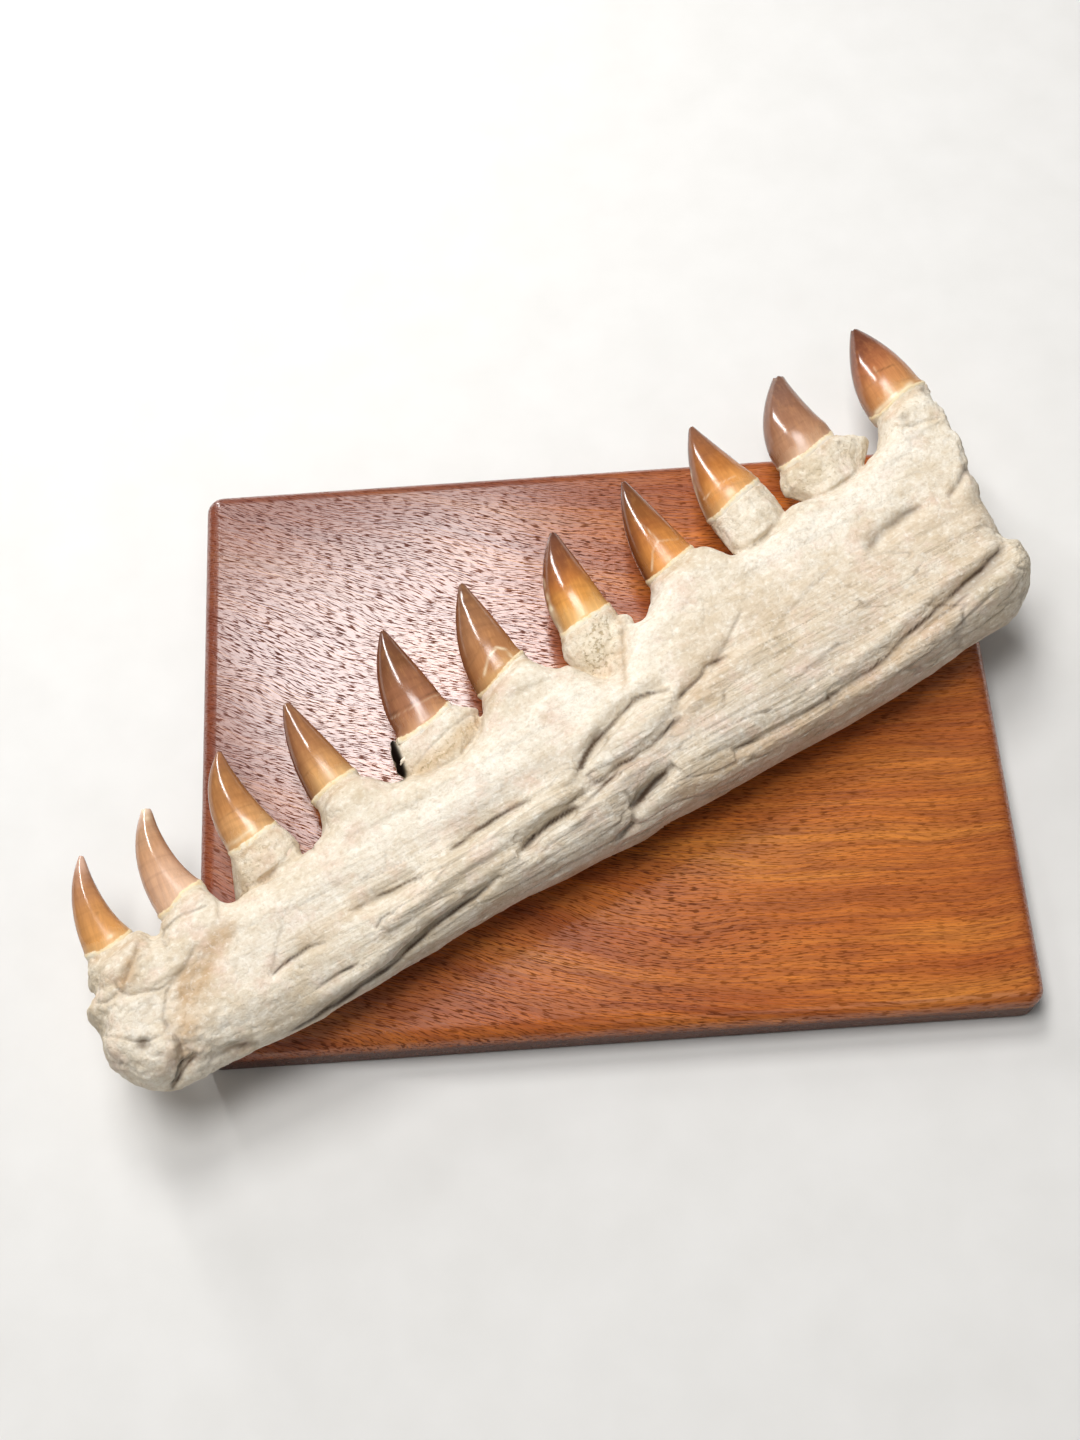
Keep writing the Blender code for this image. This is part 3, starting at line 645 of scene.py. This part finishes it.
points, normals = points_of(jaw.data), points_of(jaw.data, "normal")
places, shown = jaw_places(points), seen(points)
facing = ease(normals[:, 2], 0.02, 0.45)
s, h = shown.T
wander = wandering(places, shown)
rise = np.zeros(len(points))
for path, half_width, height in SWELLINGS:
    rise += height * band(shown, path, half_width)
for path, above, below, depth in FURROWS:
    rise -= depth * furrow(wander, path, above, below)
    rise -= 0.35 * depth * furrow(shown, path, 2.6 * above, 2.2 * below)
for place, radius, depth in HOLES:
    rise -= depth * np.exp(-(np.linalg.norm(shown - place, axis=1) / radius) ** 4)
rise *= facing
root_zone = sum(band(shown, path, width) for path, width, _ in ROOT_ZONES)
crown_ends = sum(band(shown, [front, rear], 2.4) for front, rear in STUB_TOPS.values())
calm = 1.0 - 0.85 * np.clip(crown_ends, 0.0, 1.0)
coarse = rise
rise = np.zeros(len(points))
lower, rear, striated = lined_zones(s, h)
striated = striated * (1.0 - np.clip(root_zone, 0.0, 0.8))
rise += 0.17 * striated * cloud(places, (22.0, 1.0, 1.7), 3)
rise += (0.22 * lower * (1.0 - rear) + 0.06) * striated * cloud(places, (34.0, 2.6, 3.2), 4)
rise += 0.3 * cloud(places, (9.0, 6.0, 6.0), 5) + 0.17 * cloud(places, (3.4, 2.6, 2.6), 6)
rise += 0.085 * cloud(places, (1.7, 1.4, 1.4), 10)
rise += 0.4 * ease(66 - s, 0, 30) * cloud(places, (2.4, 1.9, 1.9), 21)
rise += 0.22 * ease(66 - s, 0, 25) * np.tanh(8.0 * cloud(places, (12.0, 8.0, 9.0), 20))
rise += 0.22 * (1.0 - 0.75 * rear) * np.tanh(9.0 * cloud(places, (30.0, 6.5, 8.0), 14))
long, short = split_lines(places)
rise -= 0.45 * (long * striated + 0.35 * short)
rough_end = ease(s, 376, 388) * ease(36 - h, 0, 12) + 0.8 * ease(56 - s, 0, 30) + ease(h, 86, 100) * 0.5
rough_end += root_zone + band(shown, [(203, 7), (211, 14), (224, 20)], 6.0)
rough_end += band(shown, [(27, 8), (34, 18), (42, 32), (54, 45)], 7.0)
rough_end += 0.8 * band(shown, [(183, 77), (188, 70), (196, 60)], 6.0)
rise += 0.2 * np.clip(rough_end, 0.0, 1.2) * cloud(places, (1.5, 1.5, 1.5), 7)
rise += 0.3 * np.clip(root_zone, 0.0, 1.0) * cloud(places, (3.6, 3.2, 3.2), 11)
rise = coarse + rise * calm
rearwards = jaw_places(normals * MM + np.array([*JAW_PLACE, 0.0]) * MM)[:, 0]
torn = ease(places[:, 0], 381, 388) * ease(rearwards, 0.25, 0.7)
rise += torn * (0.5 * cloud(places, (3.0, 3.0, 3.0), 8) + 0.4 * cloud(places, (1.4, 1.4, 1.4), 9))
points = points + normals * rise[:, None] * MM

# A collar's front rim is drawn down to the crown's foot line, as it is seen.
RIM_ROOM = 5.0
RIM_REACH = 8.0
RIM_CELL = 1.5
for number, facts in TEETH.items():
    if number in ROOTED:
        continue
    up, sideways, upwards, _ = crown_heights(number, points)
    half = math.dist(facts["foot"][0], facts["foot"][-1]) / 2
    near = (np.abs(sideways) < half) & (up > -RIM_ROOM) & (up < RIM_REACH) & (normals[:, 2] > 0.1)
    centres = np.arange(-half, half + RIM_CELL, RIM_CELL)
    reach = np.zeros(len(centres))
    np.maximum.at(reach, np.round((sideways[near] + half) / RIM_CELL).astype(int), up[near])
    reach = np.convolve(np.pad(reach, 1), (0.25, 0.5, 0.25), mode="valid")
    over = np.interp(sideways, centres, reach) * ease(half + 1.5 - np.abs(sideways), 0.0, 1.5)
    pull = over * np.clip((up + RIM_ROOM) / (over + RIM_ROOM), 0.0, 1.0) * ease(normals[:, 2], -0.6, -0.1)
    points -= pull[:, None] * MM * np.array(jaw_direction(*upwards))
points[:, 2] -= OVER_SHARE * np.maximum(points[:, 2] - HIGHEST * MM, 0.0)
move_points(jaw.data, points)

# The unseen inner side is thinned as far as it goes. The rest of the skin keeps all its faces, about
# 306,000, so the aim isn't reached.
INNER_FACING = -0.15
THINNING_AIM = 190000
hidden = jaw.vertex_groups.new(name="inner_side")
inner = np.flatnonzero(normals[:, 2] < INNER_FACING)
hidden.add([int(index) for index in inner], 1.0, "REPLACE")
triangles = sum(len(face.vertices) - 2 for face in jaw.data.polygons)
finish_with(jaw, "DECIMATE", ratio=THINNING_AIM / triangles, vertex_group="inner_side")
jaw.vertex_groups.clear()
bpy.ops.object.shade_smooth()

# Tints of the bone's outer face, as seen: path, half width and strength.
TAN_ZONES = [
    ([(37, 34), (45, 38.5), (51, 42), (57, 46)], 4.5, 1.0),
    ([(24, 12), (30, 17), (36, 25), (44, 33)], 5.0, 0.45),
    ([(29, 57), (22.5, 50.5), (16.5, 45)], 1.8, 0.6),
    ([(29, 20), (31, 28), (38, 34)], 4.0, 0.5),
    ([(14, 50), (20, 46), (22, 52)], 3.0, 0.5),
    ([(146, 65), (157, 67), (171, 71)], 3.0, 1.0),
    ([(221, 62), (228, 63), (233, 69)], 4.0, 0.4),
    ([(240.5, 84), (239, 76), (233, 66), (228, 56)], 1.8, 0.6),
    ([(236, 33), (248, 37), (262, 42)], 5.0, 0.55),
    ([(262, 50), (290, 52), (330, 50), (375, 55)], 15.0, 0.3),
    ([(225, 8), (260, 9), (300, 10), (350, 20)], 5.0, 0.7),
    ([(300, 26), (340, 32), (380, 38)], 5.0, 0.25),
    ([(80, 28), (95, 29), (105, 31)], 4.0, 0.35),
    ([(73, 60), (84, 65)], 7.0, 0.35),
]
# The second pale zone, along the crest above a slit, is a painted highlight; the rest are white bone.
PALE_AND_HIGHLIGHT_ZONES = [
    ([(140, 45), (165, 50), (190, 58), (215, 62)], 9.0, 0.9),
    ([(205, 32.5), (214, 33), (222, 34.4), (233, 37)], 1.6, 0.9),
    ([(230, 62), (245, 70), (262, 82)], 8.0, 0.8),
    ([(300, 76), (320, 76), (355, 80), (380, 92)], 7.0, 0.9),
    ([(374, 103), (386, 106), (399, 104)], 5.0, 0.6),
    ([(298, 90), (310, 98)], 6.0, 0.5),
    ([(60, 30), (90, 38), (120, 50)], 8.0, 0.5),
    ([(146, 76.5), (156, 77), (167, 80)], 2.6, 0.8),
]
# Grey zones: real grey stains, and painted shade under the rear ledge and in the snout's recess.
GREY_STAIN_AND_SHADE_ZONES = [
    ([(250, 24), (285, 27), (320, 34)], 6.0, 0.8),
    ([(37, 34), (45, 38.5), (51, 42), (57, 46)], 4.0, 0.5),
    ([(345, 22), (365, 28), (385, 30)], 6.0, 0.2),
    ([(60, 34), (85, 36), (125, 41), (165, 43), (192, 42)], 5.0, 0.35),
    ([(340, 19.5), (352, 22), (364, 25.5), (378, 31)], 2.8, 0.9),
    ([(150, 40), (170, 43), (192, 42), (212, 39)], 5.0, 0.4),
    ([(190, 12), (215, 24), (240, 30)], 8.0, 0.7),
    ([(8, 28), (16, 30), (22, 33)], 5.0, 0.4),
]
# Painted shade: the hollow at the front of the fifth tooth's root is painted near black.
HOLLOW_SHADE_PATH = [(140.6, 81.5), (140.0, 76), (139.4, 71.5), (138.2, 67)]
HOLLOW_SHADE_HALF_WIDTH = 2.9

# What tints the bone: painted shade in the furrows, holes and splits, darkest in the slits' deepest
# parts, near black painted shade in the hollow at the fifth tooth's root, tan earth, white bone with a
# painted highlight along one crest, grey stains mixed with painted shade, and open pores.
points, normals = points_of(jaw.data), points_of(jaw.data, "normal")
places, shown = jaw_places(points), seen(points)
s, h = shown.T
wander = wandering(places, shown)
facing = ease(normals[:, 2], -0.1, 0.3)
shade = np.zeros(len(points))
for path, above, below, depth in FURROWS:
    widths = max(above * 0.7, 0.5), max(below * 0.42, 0.5)
    shade += min(depth / 1.3, 1.2) * furrow(wander, path, *widths, 0.25)
shade *= np.clip(0.7 + 0.5 * cloud(places, (7.0, 3.0, 3.0), 16), 0.3, 1.0)
for place, radius, depth in HOLES:
    shade += min(0.6 * depth, 0.8) * np.exp(-(np.linalg.norm(shown - place, axis=1) / radius) ** 2)
striated = lined_zones(s, h)[2]
long, short = split_lines(places)
shade += 0.4 * long * striated
shade += 0.15 * short
# Painted shade, darker still, in the slits' deepest parts.
slit_shade = sum(band(wander, path, width) for path, width in SLIT_SHADE_CORES)
slit_shade *= np.clip(0.75 + 0.6 * cloud(places, (4.0, 2.0, 2.0), 18), 0.2, 1.0)
hollow_shade = np.exp(-(near_path(shown, HOLLOW_SHADE_PATH)[0] / HOLLOW_SHADE_HALF_WIDTH) ** 8)
tan, pale, grey = (zones(shown, table) for table in (TAN_ZONES, PALE_AND_HIGHLIGHT_ZONES, GREY_STAIN_AND_SHADE_ZONES))
tan += 0.5 * band(shown, [(183, 77), (188, 70), (196, 60)], 5.0) * np.clip(
    0.3 + cloud(places, (3.0, 3.0, 3.0), 19), 0.0, 1.0)
ragged = np.clip(0.5 + cloud(places, (3.0, 3.0, 3.0), 17), 0.0, 1.0)
for facts in TEETH.values():
    tan += 0.75 * band(wander, np.array(facts["foot"]) - (-0.6, 3.0), 1.7) * ragged
# Painted shade: greyer towards the lower edge, where the flank turns away from the light.
grey += 0.3 * ease(18 - h, 0, 16) * ease(s, 40, 80)
porous = zones(shown, ROOT_ZONES)
porous += 0.5 * (ease(s, 378, 388) * ease(40 - h, 0, 10)) + 0.25 * ease(16 - s, 0, 12)
porous += 0.35 * band(shown, [(374, 103), (386, 106), (399, 104)], 7.0)
for name, values in (("shade", shade), ("tan", tan), ("pale", pale), ("grey", grey), ("porous", porous),
                     ("ridged", striated), ("slit_shade", slit_shade)):
    keep_values(jaw.data, name, np.clip(values, 0.0, 1.0) * facing)
keep_values(jaw.data, "hollow_shade", hollow_shade * ease(normals[:, 2], 0.0, 0.35))


def kept(tree, name):
    return node(tree, "ShaderNodeAttribute", attribute_name=name).outputs["Fac"]


bone, tree, shader = new_material("fossil_bone")
along = object_places(tree, turn=-JAW_TURN)
patches = noise(tree, along, 38.0, 3.0, 0.55)
mottle = noise(tree, along, 190.0, 3.0, 0.6)
crumbs = noise(tree, along, 520.0, 3.0, 0.65)
grit = noise(tree, along, 1100.0, 2.0, 0.6)
lines = noise(tree, object_places(tree, turn=-JAW_TURN, stretch=(55.0, 850.0, 600.0)), 1.0, 3.0, 0.65)
tone = ramp(tree, patches, [(0.3, colour(206, 190, 164)), (0.45, colour(223, 210, 189)),
                            (0.58, colour(232, 222, 204)), (0.75, colour(216, 199, 171))])
tone = mix(tree, spread(tree, mottle, 0.48, 0.72, 0.0, 0.5), tone, colour(206, 186, 156))
tone = mix(tree, spread(tree, mottle, 0.45, 0.25, 0.0, 0.5), tone, colour(248, 242, 230))
tone = mix(tree, times(tree, kept(tree, "pale"), 0.6), tone, colour(248, 242, 230))
tone = mix(tree, times(tree, kept(tree, "grey"), 0.6), tone, colour(186, 176, 164))
tan_share = times(tree, kept(tree, "tan"), spread(tree, mottle, 0.25, 0.6, 0.4, 1.0))
tone = mix(tree, tan_share, tone, colour(197, 166, 130))
flush = noise(tree, along, 75.0, 3.0, 0.65)
tone = mix(tree, spread(tree, flush, 0.52, 0.7, 0.0, 0.45), tone, colour(222, 190, 172))
streaky = times(tree, spread(tree, lines, 0.5, 0.68, 0.0, 0.55), kept(tree, "ridged"))
tone = mix(tree, streaky, tone, colour(178, 158, 130))
tone = mix(tree, spread(tree, crumbs, 0.5, 0.68, 0.0, 0.35), tone, colour(196, 172, 140))
tone = mix(tree, spread(tree, grit, 0.54, 0.7, 0.0, 0.25), tone, colour(200, 178, 150))
tone = mix(tree, spread(tree, crumbs, 0.46, 0.3, 0.0, 0.4), tone, colour(252, 247, 236))
porous = kept(tree, "porous")
speckle = math_of(tree, "MULTIPLY_ADD", porous, 0.07, noise(tree, along, 560.0, 2.0, 0.7))
specks = spread(tree, speckle, 0.6, 0.68)
tone = mix(tree, times(tree, porous, 0.3), tone, colour(232, 214, 178))
speck_share = times(tree, specks, spread(tree, porous, 0.0, 1.0, 0.14, 0.7))
tone = mix(tree, speck_share, tone, colour(172, 150, 112))
tone = mix(tree, times(tree, kept(tree, "shade"), 0.95), tone, colour(92, 72, 56), "MULTIPLY")
tone = mix(tree, times(tree, kept(tree, "slit_shade"), 0.85), tone, colour(64, 50, 40))
# Painted shade: near black in the hollow at the fifth tooth's root, with no gloss.
tone = mix(tree, kept(tree, "hollow_shade"), tone, colour(22, 15, 12))
tree.links.new(tone, shader.inputs["Base Color"])
tree.links.new(spread(tree, patches, 0.3, 0.7, 0.6, 0.78), shader.inputs["Roughness"])
tree.links.new(spread(tree, kept(tree, "hollow_shade"), 0.0, 0.5, 0.35, 0.0), shader.inputs["Specular IOR Level"])
ridges = times(tree, lines, spread(tree, kept(tree, "ridged"), 0.0, 1.0, 0.25, 1.1))
height = math_of(tree, "ADD", ridges, crumbs)
height = math_of(tree, "MULTIPLY_ADD", grit, 0.4, height)
height = math_of(tree, "SUBTRACT", height, times(tree, speck_share, 0.5))
bump = node(tree, "ShaderNodeBump", {"Height": height, "Strength": 0.9, "Distance": 0.6 * MM})
tree.links.new(bump.outputs[0], shader.inputs["Normal"])
jaw.data.materials.append(bone)
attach(jaw, "root")
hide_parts("jaw_bone")


# The teeth: tall, backward-curved crowns of glossy enamel, honey and orange at the foot and dark
# brown at the tip. Five show a swollen root of porous, cream bone under a thin pale rim; the other
# six rise straight from the bone's collars. All sit fixed in the bone.
TOOTH_LEVELS = 3
ROUNDING_PASSES = 3
ROUNDING_SHARE = 0.9
TIP_ROOM = 3.0
TIP_PASSES = 30
LEAN_POWER = 1.5
FLAT_ANGLE = math.radians(40.0)
SQUARE_ANGLE = math.radians(60.0)

# The enamel's colours at shares of the crown's height, from the foot to the tip.
ENAMEL = {
    1: [(0, (228, 178, 118)), (0.15, (216, 154, 88)), (0.45, (196, 138, 84)), (0.75, (178, 126, 88)),
        (1, (206, 168, 146))],
    2: [(0, (228, 188, 156)), (0.3, (214, 170, 138)), (0.6, (198, 150, 112)), (0.82, (186, 146, 114)),
        (1, (232, 204, 188))],
    3: [(0, (222, 176, 120)), (0.2, (213, 158, 102)), (0.45, (180, 124, 74)), (0.75, (158, 108, 64)),
        (1, (148, 98, 68))],
    4: [(0, (222, 176, 118)), (0.15, (206, 152, 96)), (0.45, (166, 114, 72)), (0.7, (146, 98, 64)),
        (1, (120, 80, 58))],
    5: [(0, (200, 148, 106)), (0.2, (168, 114, 82)), (0.45, (150, 100, 70)), (0.7, (116, 74, 46)),
        (1, (100, 62, 46))],
    6: [(0, (206, 158, 104)), (0.2, (182, 126, 80)), (0.5, (166, 116, 78)), (0.75, (142, 98, 66)),
        (1, (112, 76, 54))],
    7: [(0, (238, 186, 116)), (0.25, (222, 154, 76)), (0.45, (184, 114, 56)), (0.65, (136, 80, 46)),
        (1, (88, 54, 44))],
    8: [(0, (232, 160, 90)), (0.2, (208, 136, 66)), (0.45, (164, 98, 48)), (0.7, (126, 76, 36)),
        (1, (98, 56, 38))],
    9: [(0, (228, 174, 112)), (0.2, (218, 148, 78)), (0.45, (178, 110, 52)), (0.7, (150, 94, 56)),
        (1, (120, 80, 62))],
    10: [(0, (206, 164, 130)), (0.2, (186, 138, 104)), (0.5, (158, 112, 84)), (0.8, (134, 96, 78)),
         (1, (116, 84, 70))],
    11: [(0, (222, 172, 114)), (0.2, (208, 142, 88)), (0.5, (176, 108, 68)), (0.75, (116, 64, 42)),
         (1, (86, 46, 30))],
}
# The roots' colours, from the crown's foot downwards, and those of a root that is out of sight.
ROOT_TONES = {
    3: [(238, 226, 210), (226, 204, 182), (232, 220, 202)],
    5: [(244, 236, 222), (238, 222, 200), (222, 196, 164)],
    7: [(236, 226, 206), (220, 206, 178), (232, 216, 192)],
    9: [(240, 230, 214), (236, 224, 204), (232, 216, 192)],
    10: [(236, 222, 204), (238, 224, 202), (226, 204, 174)],
}
HIDDEN_ROOT = [(238, 228, 208)] * 3

# Marks on the crowns, as seen: cream chips and cracks, then dark lines and pits. Each is a path,
# half its width and its strength.
CREAM_MARKS = {
    2: [([(50, 104), (50.8, 99)], 1.4, 0.6)],
    3: [([(71, 73.5), (76, 74), (82, 75)], 0.8, 0.5)],
    5: [([(146, 88.4), (153, 88.6), (161.7, 88.8), (167, 88.2)], 0.35, 0.25)],
    6: [([(184.6, 86.7), (189.3, 92.2), (194.3, 94.6), (196.9, 91.9), (197.4, 88)], 0.5, 0.65)],
    7: [([(218, 87.5), (219, 93), (220, 98)], 1.3, 0.75), ([(220.2, 98), (222, 105), (224, 111)], 0.6, 0.55)],
    8: [([(262, 93), (267, 100.5), (271, 103), (278, 100)], 0.35, 0.45),
        ([(271, 103), (270, 110), (268, 116)], 0.3, 0.35)],
    9: [([(292, 101.5), (293, 108), (295, 115), (298, 124)], 0.8, 0.6),
        ([(296, 110), (305, 113), (312, 113)], 0.3, 0.35)],
    11: [([(384, 113), (387, 120), (388, 128)], 0.3, 0.3),
         ([(377, 109.3), (388, 112.6), (397, 114)], 1.0, 0.6)],
}
DARK_MARKS = {
    1: [([(20, 74), (20.1, 74.1)], 0.6, 0.8)],
    3: [([(72, 84), (79, 85), (86, 84)], 0.3, 0.2)],
    4: [([(107, 84), (113, 86), (120, 85)], 0.3, 0.2)],
    5: [([(146, 89.8), (153.3, 90.1), (161.7, 90.4), (167.6, 89.9)], 0.5, 0.35),
        ([(147, 95), (155, 95.4), (163, 95.4)], 0.4, 0.2)],
    6: [([(181, 92), (188, 97), (195, 99)], 0.35, 0.25)],
    10: [([(333, 118), (342, 120), (350, 121)], 0.4, 0.2)],
    11: [([(380, 127), (388, 125.5), (396, 125)], 0.35, 0.35)],
}

# A seated crown's stub narrows under its foot, so its top ring is drawn out to the foot's width and
# down, in mm, for the crown to run on straight into the collar.
STUB_RING = (-1.5, -0.3)
STUB_WIDENING = 1.6
STUB_LOWERING = 3.4
ROOT_SINK = 0.9
LIP_RISE = 0.25

# How strong the painted shade along a crown's front edge is, where it isn't the usual share.
EDGE_SHADE_SHARES = {1: 0.3, 2: 0.25, 3: 0.35, 4: 0.9, 8: 1.0, 9: 0.75}
USUAL_EDGE_SHADE = 0.62


def rounded(piece):
    """Subdivides a coarse form so that the smooth one still passes through its corners."""
    wanted = points_of(piece.data)
    for _ in range(ROUNDING_PASSES):
        trial = piece.copy()
        trial.data = piece.data.copy()
        bpy.context.scene.collection.objects.link(trial)
        finish_with(trial, "SUBSURF", levels=TOOTH_LEVELS, render_levels=TOOTH_LEVELS)
        reached = points_of(trial.data)[:len(wanted)]
        bpy.data.objects.remove(trial)
        move_points(piece.data, points_of(piece.data) + ROUNDING_SHARE * (wanted - reached))
    finish_with(piece, "SUBSURF", levels=TOOTH_LEVELS, render_levels=TOOTH_LEVELS)


def enamel_material(number, length):
    """Glossy enamel over a matt root; the colours follow the height above the crown's foot."""
    foot, tip = TEETH[number]["foot"], TEETH[number]["tip"]
    made, tree, shader = new_material(f"tooth_{number:02d}")
    up, across = kept(tree, "up"), kept(tree, "across")
    along = object_places(tree, turn=-JAW_TURN)
    waver = noise(tree, along, 160.0, 2.0)
    wavering = math_of(tree, "ADD", up, spread(tree, waver, 0.3, 0.7, -2.2, 2.2))
    share = spread(tree, wavering, 0.0, length)
    enamel = ramp(tree, share, [(place, colour(*shade)) for place, shade in ENAMEL[number]])
    lean = math.atan2(tip[0] - (foot[0][0] + foot[-1][0]) / 2, tip[1] - (foot[0][1] + foot[-1][1]) / 2)
    streak_places = object_places(tree, turn=lean - JAW_TURN, stretch=(750.0, 45.0, 600.0))
    streaks = noise(tree, streak_places, 1.0, 3.0, 0.6)
    enamel = mix(tree, spread(tree, streaks, 0.35, 0.65, 0.0, 0.18), enamel, colour(104, 58, 30))
    enamel = mix(tree, spread(tree, streaks, 0.5, 0.2, 0.0, 0.14), enamel, colour(236, 172, 100))
    # Painted shade: the crown darkens towards its front edge and, less, towards its rear edge.
    edge = spread(tree, across, -0.35, -0.95, 0.0, EDGE_SHADE_SHARES.get(number, USUAL_EDGE_SHADE))
    enamel = mix(tree, edge, enamel, colour(98, 48, 20))
    enamel = mix(tree, spread(tree, across, 0.6, 1.0, 0.0, 0.35), enamel, colour(120, 68, 36))
    bands = noise(tree, object_places(tree, turn=lean - JAW_TURN, stretch=(40.0, 450.0, 40.0)), 1.0, 2.0)
    enamel = mix(tree, spread(tree, bands, 0.5, 0.7, 0.0, 0.14), enamel, colour(96, 54, 30))
    rim = [colour(238, 214, 170), colour(240, 226, 198)]
    root = [colour(*shade) for shade in ROOT_TONES.get(number, HIDDEN_ROOT)]
    grains = noise(tree, along, 330.0, 3.0, 0.7)
    below = spread(tree, math_of(tree, "ADD", up, spread(tree, grains, 0.3, 0.7, -1.5, 1.5)), 0.0, -24.0)
    bare = ramp(tree, below, list(zip((0.0, 0.05, 0.12, 0.45, 0.9), rim + root)))
    pores = spread(tree, noise(tree, along, 800.0, 2.0, 0.7), 0.58, 0.7)
    bare = mix(tree, times(tree, pores, spread(tree, up, -1.5, -6.0, 0.1, 0.7)), bare,
               colour(158, 124, 88))
    low_edge = -0.15 if number in ROOTED else 0.25
    crown_share = spread(tree, math_of(tree, "ADD", up, spread(tree, grains, 0.3, 0.7, -0.4, 0.4)),
                         low_edge, low_edge + 0.5)
    tone = mix(tree, crown_share, bare, enamel)
    tone = mix(tree, kept(tree, "cream"), tone, colour(240, 222, 188))
    tone = mix(tree, kept(tree, "dark"), tone, colour(44, 28, 20))
    tree.links.new(tone, shader.inputs["Base Color"])
    smooth = math_of(tree, "ADD", spread(tree, streaks, 0.3, 0.7, 0.1, 0.18),
                     spread(tree, share, 0.0, 0.4, 0.2, 0.0))
    rough = node(tree, "ShaderNodeMix", {0: crown_share, 2: 0.62, 3: smooth}, data_type="FLOAT").outputs[0]
    tree.links.new(rough, shader.inputs["Roughness"])
    height = times(tree, math_of(tree, "SUBTRACT", 1.0, crown_share),
                   math_of(tree, "SUBTRACT", times(tree, grains, 0.6), pores))
    height = math_of(tree, "MULTIPLY_ADD", streaks, 0.12, height)
    bump = node(tree, "ShaderNodeBump", {"Height": height, "Strength": 0.6, "Distance": 0.25 * MM})
    tree.links.new(bump.outputs[0], shader.inputs["Normal"])
    shader.inputs["IOR"].default_value = 1.6
    return made


for number, facts in TEETH.items():
    form = closed_copy(f"tooth_{number:02d}")
    bmesh.ops.join_triangles(form, faces=form.faces, angle_face_threshold=FLAT_ANGLE,
                             angle_shape_threshold=SQUARE_ANGLE)
    tooth = add_piece(f"enamel_tooth_{number:02d}", form)
    if number not in ROOTED:
        middle, upwards = crown_end(number)
        places = jaw_places(points_of(tooth.data))
        height = (places[:, :2] - np.array(middle)) @ np.array(upwards)
        axis = np.column_stack([np.array(middle) + height[:, None] * np.array(upwards),
                                np.full(len(places), TOOTH_PLANE)])
        ring = (height > STUB_RING[0]) & (height < STUB_RING[1])
        places = axis + (places - axis) * np.where(ring, STUB_WIDENING, 1.0)[:, None]
        places -= np.where(ring, STUB_LOWERING, 0.0)[:, None] * np.array([*upwards, 0.0])
        move_points(tooth.data, np.array([jaw_point(*place) for place in places]))
    rounded(tooth)
    up = crown_heights(number, points_of(tooth.data))[0]
    worn = tooth.vertex_groups.new(name="tip")
    worn.add([int(index) for index in np.flatnonzero(up > up.max() - TIP_ROOM)], 1.0, "REPLACE")
    finish_with(tooth, "SMOOTH", factor=0.5, iterations=TIP_PASSES, vertex_group="tip")
    tooth.vertex_groups.clear()
    points, normals = points_of(tooth.data), points_of(tooth.data, "normal")
    up, _, _, length = crown_heights(number, points)
    lean = np.array(facts["tip"]) - seen(points)[np.argmax(up)]
    points += (np.clip(up / length, 0.0, 1.0) ** LEAN_POWER)[:, None] * np.array(jaw_direction(*lean)) * MM
    up, sideways, _, length = crown_heights(number, points)
    levels = np.arange(math.floor(up.min()), math.ceil(up.max()) + 1)
    row = np.round(up - levels[0]).astype(int)
    least, most = np.zeros(len(levels)), np.zeros(len(levels))
    np.minimum.at(least, row, sideways)
    np.maximum.at(most, row, sideways)
    least, most = np.interp(up, levels, least), np.interp(up, levels, most)
    across = 2.0 * (sideways - least) / np.maximum(most - least, 0.5) - 1.0
    places = jaw_places(points)
    buried = ease(-up, 2.0, 3.4) if number in ROOTED else np.zeros(len(points))
    lip = ease(-up, -0.6, 0.0) * ease(up, -1.8, -0.6)
    lip += 0.4 * lip * cloud(places, (2.0, 2.0, 2.0), number)
    move_points(tooth.data, points + normals * (LIP_RISE * lip - ROOT_SINK * buried)[:, None] * MM)
    keep_values(tooth.data, "up", up)
    keep_values(tooth.data, "across", across)
    shown = seen(points)
    ragged = np.clip(0.9 + 0.9 * cloud(places, (2.5, 2.5, 2.5), number + 30), 0.0, 1.3)
    for name, marks in (("cream", CREAM_MARKS), ("dark", DARK_MARKS)):
        strength = zones(shown, marks.get(number, []))
        keep_values(tooth.data, name, np.clip(strength * ragged, 0.0, 1.0) * (normals[:, 2] > 0.0))
    only(tooth)
    bpy.ops.object.shade_smooth()
    tooth.data.materials.append(enamel_material(number, length))
    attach(tooth, "root")
    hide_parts(f"tooth_{number:02d}")
